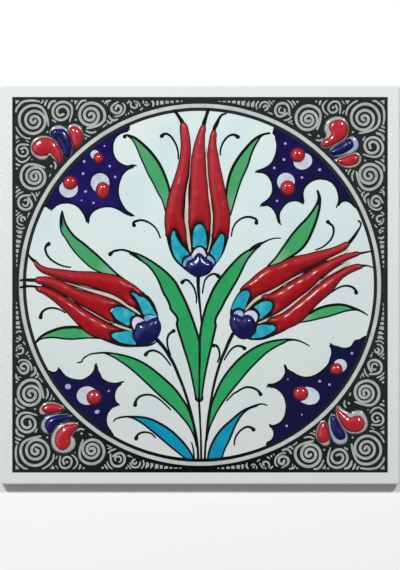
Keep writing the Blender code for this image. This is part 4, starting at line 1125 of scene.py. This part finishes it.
def brushwork(name, lines, level, material, steps=LINE_STEPS):
    """Brush lines as flat ribbons of paint, each a list of x, y and half width. They are rooted in
    the glaze."""
    drawing = new_drawing(name, "3D")
    drawing.data.bevel_depth = MM
    drawing.data.bevel_resolution = 0
    drawing.data.resolution_u = steps
    drawing.data.use_fill_caps = True
    for points in lines:
        draw(drawing, with_round_ends(points))
    piece = to_mesh(drawing)
    bpy.ops.object.shade_flat()
    for vertex in piece.data.vertices:
        below = vertex.co.z < -ON_PLANE * MM
        vertex.co.z = -ROOT * MM if below else level * MM
    settle(piece, FACE)
    ride_as(piece, material)


def with_round_ends(points):
    """The middle line lengthened past both ends by a narrowing stretch, which rounds them."""
    for _ in range(2):
        x, y, radius = points[0]
        next_x, next_y = points[1][:2]
        length = math.hypot(x - next_x, y - next_y)
        head = []
        for degrees in ROUND_END_ANGLES:
            angle = math.radians(degrees)
            away = radius * math.cos(angle) / length
            head.append((x + (x - next_x) * away, y + (y - next_y) * away, radius * math.sin(angle)))
        points = (head + points)[::-1]
    return points


def tapered(points, thick, thin):
    """The points with a half width that swells from near thin at both ends to thick between."""
    last = len(points) - 1
    line = []
    for number, (x, y) in enumerate(points):
        along = min(max(number / last, TAPER_END), 1 - TAPER_END)
        line.append((x, y, thin + (thick - thin) * math.sqrt(math.sin(math.pi * along))))
    return line


def oval_points(x, y, half_width, half_height, turn, count):
    """Points of an oval turned by some degrees."""
    angle = math.radians(turn)
    points = []
    for number in range(count):
        around = 2 * math.pi * number / count
        across = half_width * math.cos(around)
        along = half_height * math.sin(around)
        points.append((
            x + across * math.cos(angle) - along * math.sin(angle),
            y + across * math.sin(angle) + along * math.cos(angle),
        ))
    return points


def circle_points(x, y, radius, count):
    """Points of a circle."""
    return oval_points(x, y, radius, radius, 0, count)


def arc_points(start, end, radius, count):
    """Points on a circle round the tile's middle, from one angle to another in degrees."""
    points = []
    for number in range(count + 1):
        around = math.radians(start + (end - start) * number / count)
        points.append((radius * math.cos(around), radius * math.sin(around)))
    return points


def slab(name, side, bottom, top, rounding, steps):
    """A square slab between two heights in mm, its edges rounded."""
    bpy.ops.object.select_all(action="DESELECT")
    bpy.ops.mesh.primitive_cube_add(size=1, location=(0, 0, (top + bottom) / 2 * MM))
    piece = bpy.context.object
    piece.name = name
    piece.scale = (side * MM, side * MM, (top - bottom) * MM)
    bpy.ops.object.transform_apply(location=True, rotation=True, scale=True)
    edges = piece.modifiers.new("edges", "BEVEL")
    edges.width = rounding * MM
    edges.segments = steps
    bpy.ops.object.modifier_apply(modifier="edges")
    return piece


def body_of_tile(paint):
    """The pressed biscuit slab and the coat of glaze that wraps its upper edges."""
    biscuit = slab("biscuit_slab", BISCUIT_SIDE, 0, BISCUIT_TOP, BISCUIT_EDGE, BISCUIT_EDGE_STEPS)
    ride_as(biscuit, paint["clay"])
    coat = slab("glaze_coat", SIDE, GLAZE_BOTTOM, FACE, GLAZE_EDGE, GLAZE_EDGE_STEPS)
    bpy.ops.object.shade_smooth_by_angle(angle=math.radians(SMOOTH_ANGLE))
    ride_as(coat, paint["white"])
    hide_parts("tile")


def frame_of_window(paint):
    """The black square with its round window, and the pale ring around the window."""
    far = GROUND_HALF
    square = [(-far, -far), (far, -far), (far, far), (-far, far)]
    window = circle_points(0, 0, WINDOW_RADIUS, RING_POINTS)
    film("black_ground", [(square, (0, 1, 2, 3)), (window, ())], GROUND_LEVEL, paint["black"])
    inner, outer = RING_RADII
    ring = [(circle_points(0, 0, radius, RING_POINTS), ()) for radius in (outer, inner)]
    film("pale_ring", ring, PALE_LEVEL, paint["pale"])


def border(paint):
    """The slip drawing on the black square: spirals, strokes, wedges and dots, corner by corner."""
    lines = [spiral(*numbers) for numbers in CORNER_SPIRALS]
    lines += [tapered(points, width, BORDER_LINE_END * width) for width, points in CORNER_LINES]
    patches = [(points, tuple(range(len(points)))) for points in CORNER_PATCHES]
    patches += [(circle_points(*dot, BORDER_DOT_POINTS), ()) for dot in CORNER_DOTS]
    for number, corner_name in enumerate(("top_left", "top_right", "bottom_right", "bottom_left")):
        drawn = [turned(points, number) for points in lines]
        brushwork("spirals_" + corner_name, drawn, PALE_LEVEL, paint["thin_pale"], SPIRAL_STEPS)
        laid = [(turned(points, number), corners) for points, corners in patches]
        film("dots_and_wedges_" + corner_name, laid, PALE_LEVEL, paint["thin_pale"])


def turned(points, quarters):
    """The points after some quarter turns clockwise about the tile's middle."""
    for _ in range(quarters):
        points = [(point[1], -point[0], *point[2:]) for point in points]
    return points


def spiral(x, y, start, end_width, width, distances):
    """A spiral's points, a quarter turn apart, from its outer end inwards."""
    points = []
    for number, distance in enumerate(distances):
        around = math.radians(start + 90 * number)
        half = width if number else end_width
        points.append((x + distance * math.cos(around), y + distance * math.sin(around), half))
    return points


def cobalt_fields(paint):
    """The cloud-edged cobalt fields inside the window, and the black line along each scallop."""
    outlines = []
    edges = []
    for runs in SCALLOPS.values():
        points = [point for run in runs for point in run]
        corners = []
        place = 0
        for run in runs:
            corners += [place, place + len(run) - 1]
            place += len(run)
            edges.append(tapered(run, *SCALLOP_INK))
        start = math.degrees(math.atan2(points[-1][1], points[-1][0]))
        end = math.degrees(math.atan2(points[0][1], points[0][0]))
        rim = arc_points(start, end, FIELD_RADIUS, FIELD_RIM_POINTS)
        corners += [len(points), len(points) + len(rim) - 1]
        outlines.append((points + rim, tuple(corners)))
    film("cobalt_fields", outlines, COLOUR_LEVEL, paint["cobalt"])
    brushwork("scallop_lines", edges, INK_LEVEL, paint["ink"])


def leaves(paint):
    """The painted leaves and the ink along their edges."""
    edges = []
    for name, ((first_weight, first), (second_weight, second)) in LEAVES.items():
        outline = first + second[::-1]
        corners = (0, len(first) - 1, len(first), len(outline) - 1)
        colour = "blue" if name.startswith("blue") else "green"
        film(name, [(outline, corners)], COLOUR_LEVEL, paint[colour])
        edges.append(tapered(first, first_weight, LEAF_LINE_END))
        edges.append(tapered(second, second_weight, LEAF_LINE_END))
    brushwork("leaf_lines", edges, INK_LEVEL, paint["ink"])


def tulip_beds(paint):
    """The flat painting under and between the petals."""
    film("tulip_beds", [(points, ()) for points in TULIP_BEDS.values()], GROUND_LEVEL, paint["ink"])
    film("sepals", [(points, ()) for points in SEPALS], PALE_LEVEL, paint["turquoise"])
    # The gap shades are painted shade between the petals, and the petal lines are partly painted shade.
    shades = [shade_round(points) for points in CREAM_GAPS]
    brushwork("gap_shades", shades + DARK_GAPS, GAP_LEVEL, paint["brown"])
    brushwork("cream_gaps", CREAM_GAPS, PALE_LEVEL, paint["cream"])
    rims = [[(x, y, PETAL_LINE) for x, y in points + points[:1]] for points, _ in PETALS.values()]
    brushwork("petal_lines", rims, INK_LEVEL, paint["brown"])
    film("white_lobes", [(points, ()) for points in WHITE_LOBES], PALE_LEVEL, paint["lilac"])
    film("pale_blue_lobes", [(points, ()) for points in BLUE_LOBES], PALE_LEVEL, paint["pale_blue"])


def shade_round(points):
    """A gap's middle line with the half widths of the painted shade under it."""
    line = []
    for number, (x, y, half) in enumerate(points):
        reach = GAP_SHADE * min(1, number / GAP_SHADE_POINTS)
        line.append((x, y, half + reach))
    return line


def stems_and_curls(paint):
    """The stems, the curls with their bulbs, and the hairs at the petals' tips."""
    curls = []
    for points in CURLS:
        last = len(points) - 1
        line = [(*points[0], CURL_BULB)]
        for number, (x, y) in enumerate(points[1:], start=1):
            line.append((x, y, CURL_NECK - (CURL_NECK - CURL_END) * number / last))
        curls.append(line)
    brushwork("stems_curls_and_hairs", STEMS + curls + HAIRS, TOP_INK_LEVEL, paint["ink"])


def pool(name, points, corners, rise, softness, material, passes=RIDGE_PASSES, foot=0.0):
    """Enamel pooled inside an outline: from a hollow meniscus at its rim it climbs steeply, rounds
    off towards its middle within a few times the softness in mm, and is a little uneven, as laid
    by hand. With a foot, in mm, its rim is a wall of that height."""
    piece = plate(name, [(points, corners)], VOXEL, POOL_STEPS)
    rim = KDTree(len(piece.data.vertices))
    for number, vertex in enumerate(piece.data.vertices):
        rim.insert((vertex.co.x, vertex.co.y, 0), number)
    rim.balance()
    melt = piece.modifiers.new("melt", "REMESH")
    melt.mode = "VOXEL"
    melt.voxel_size = VOXEL * MM
    bpy.ops.object.modifier_apply(modifier="melt")
    bpy.ops.object.shade_smooth()

    menisci = []
    for vertex in piece.data.vertices:
        if vertex.co.z < UNDERSIDE * MM:
            menisci.append(None)
            vertex.co.z = 0
            continue
        flat = Vector((vertex.co.x, vertex.co.y, 0))
        inwards = rim.find(flat)[2] / MM
        unevenness = 1 + LUMPS * noise.noise(flat / (LUMP_SIZE * MM))
        climb = 1 - math.exp(-inwards / softness)
        vertex.co.z = (rise - foot) * climb * unevenness * MM
        menisci.append(1 - math.exp(-(inwards / MENISCUS) ** 2))

    ridge = piece.modifiers.new("round_ridge", "SMOOTH")
    ridge.use_x = False
    ridge.use_y = False
    ridge.factor = SMOOTHING
    ridge.iterations = passes
    bpy.ops.object.modifier_apply(modifier="round_ridge")
    for vertex, share in zip(piece.data.vertices, menisci):
        vertex.co.z = -ROOT * MM if share is None else vertex.co.z * share + foot * MM
    settle(piece, FACE)
    ride_as(piece, material)


def petals_and_hearts(paint):
    """The tulips' enamel in relief."""
    for name, (points, corners) in PETALS.items():
        pool(name, points, corners, PETAL_RISE, PETAL_SOFTNESS, paint["red"])
    for name, points in HEARTS.items():
        pool(name, points, (), HEART_RISE, HEART_SOFTNESS, paint["blue_enamel"], DOME_PASSES)


def commas(paint):
    """The enamel commas in the corners, each on the slip that shows round it."""
    for name, (colour, outline, halo) in COMMAS.items():
        enamel, slip = COMMA_PAINTS[colour]
        pool(name, outline, (0,), COMMA_RISE, COMMA_SOFTNESS, paint[enamel], foot=COMMA_FOOT)
        pool(name + "_halo", halo, (0,), HALO_RISE, HALO_SOFTNESS, paint[slip])


def berries(paint):
    """The berries in relief, the pale ovals beside them and the slip dots in the cobalt."""
    for number, (x, y, half_width, half_height) in enumerate(BERRIES, start=1):
        outline = oval_points(x, y, half_width + MENISCUS, half_height + MENISCUS, 0, OVAL_POINTS)
        name = "berry_" + str(number)
        pool(name, outline, (), BERRY_RISE, BERRY_SOFTNESS, paint["red_drops"])
    for number, oval in enumerate(BERRY_OVALS, start=1):
        outline = oval_points(*oval, OVAL_POINTS)
        film("berry_oval_" + str(number), [(outline, ())], PALE_LEVEL, paint["slip"])
    dots = [(oval_points(*dot, SLIP_DOT_POINTS), ()) for dot in DOTS]
    film("slip_dots", dots, PALE_LEVEL, paint["dot_slip"])


def paper_floor():
    """The plain pale floor that the tile lies on."""
    bpy.ops.object.select_all(action="DESELECT")
    bpy.ops.mesh.primitive_plane_add(size=FLOOR_SIDE, location=(0, 0, 0))
    floor = bpy.context.object
    floor.name = "floor"
    paper = bpy.data.materials.new("white_paper")
    paper.use_nodes = True
    shader = paper.node_tree.nodes["Principled BSDF"]
    shader.inputs["Base Color"].default_value = (PAPER_SHADE, PAPER_SHADE, PAPER_SHADE, 1)
    shader.inputs["Roughness"].default_value = PAPER_ROUGHNESS
    floor.data.materials.append(paper)


def lamps_and_sky():
    """Two round lamps beyond the tile's top edge, a wide soft one at its left, and a faint sky."""
    for name, place, size, power in LAMPS:
        bpy.ops.object.light_add(type="AREA", location=place)
        lamp = bpy.context.object
        lamp.name = name
        lamp.data.shape = "DISK"
        lamp.data.size = size
        lamp.data.energy = power
        lamp.rotation_euler = (-lamp.location).to_track_quat("-Z", "Y").to_euler()
    sky = bpy.data.worlds.new("soft_sky")
    sky.use_nodes = True
    background = sky.node_tree.nodes["Background"]
    background.inputs["Color"].default_value = (1, 1, 1, 1)
    background.inputs["Strength"].default_value = SKY_STRENGTH
    bpy.context.scene.world = sky


def camera_above():
    """The camera, which looks straight down on the face."""
    place = (0, -VIEW_SHIFT_MM * MM, CAMERA_HEIGHT + FACE * MM)
    bpy.ops.object.camera_add(location=place, rotation=(0, 0, 0))
    camera = bpy.context.object
    camera.data.sensor_fit = "HORIZONTAL"
    camera.data.sensor_width = SENSOR_WIDTH
    camera.data.lens = SENSOR_WIDTH * CAMERA_HEIGHT / (FRAME_WIDTH_MM * MM)
    bpy.context.scene.camera = camera
    bpy.context.scene.view_settings.view_transform = "Standard"


def main():
    paint = paints()
    body_of_tile(paint)
    frame_of_window(paint)
    border(paint)
    cobalt_fields(paint)
    leaves(paint)
    tulip_beds(paint)
    stems_and_curls(paint)
    petals_and_hearts(paint)
    commas(paint)
    berries(paint)
    paper_floor()
    lamps_and_sky()
    camera_above()


main()
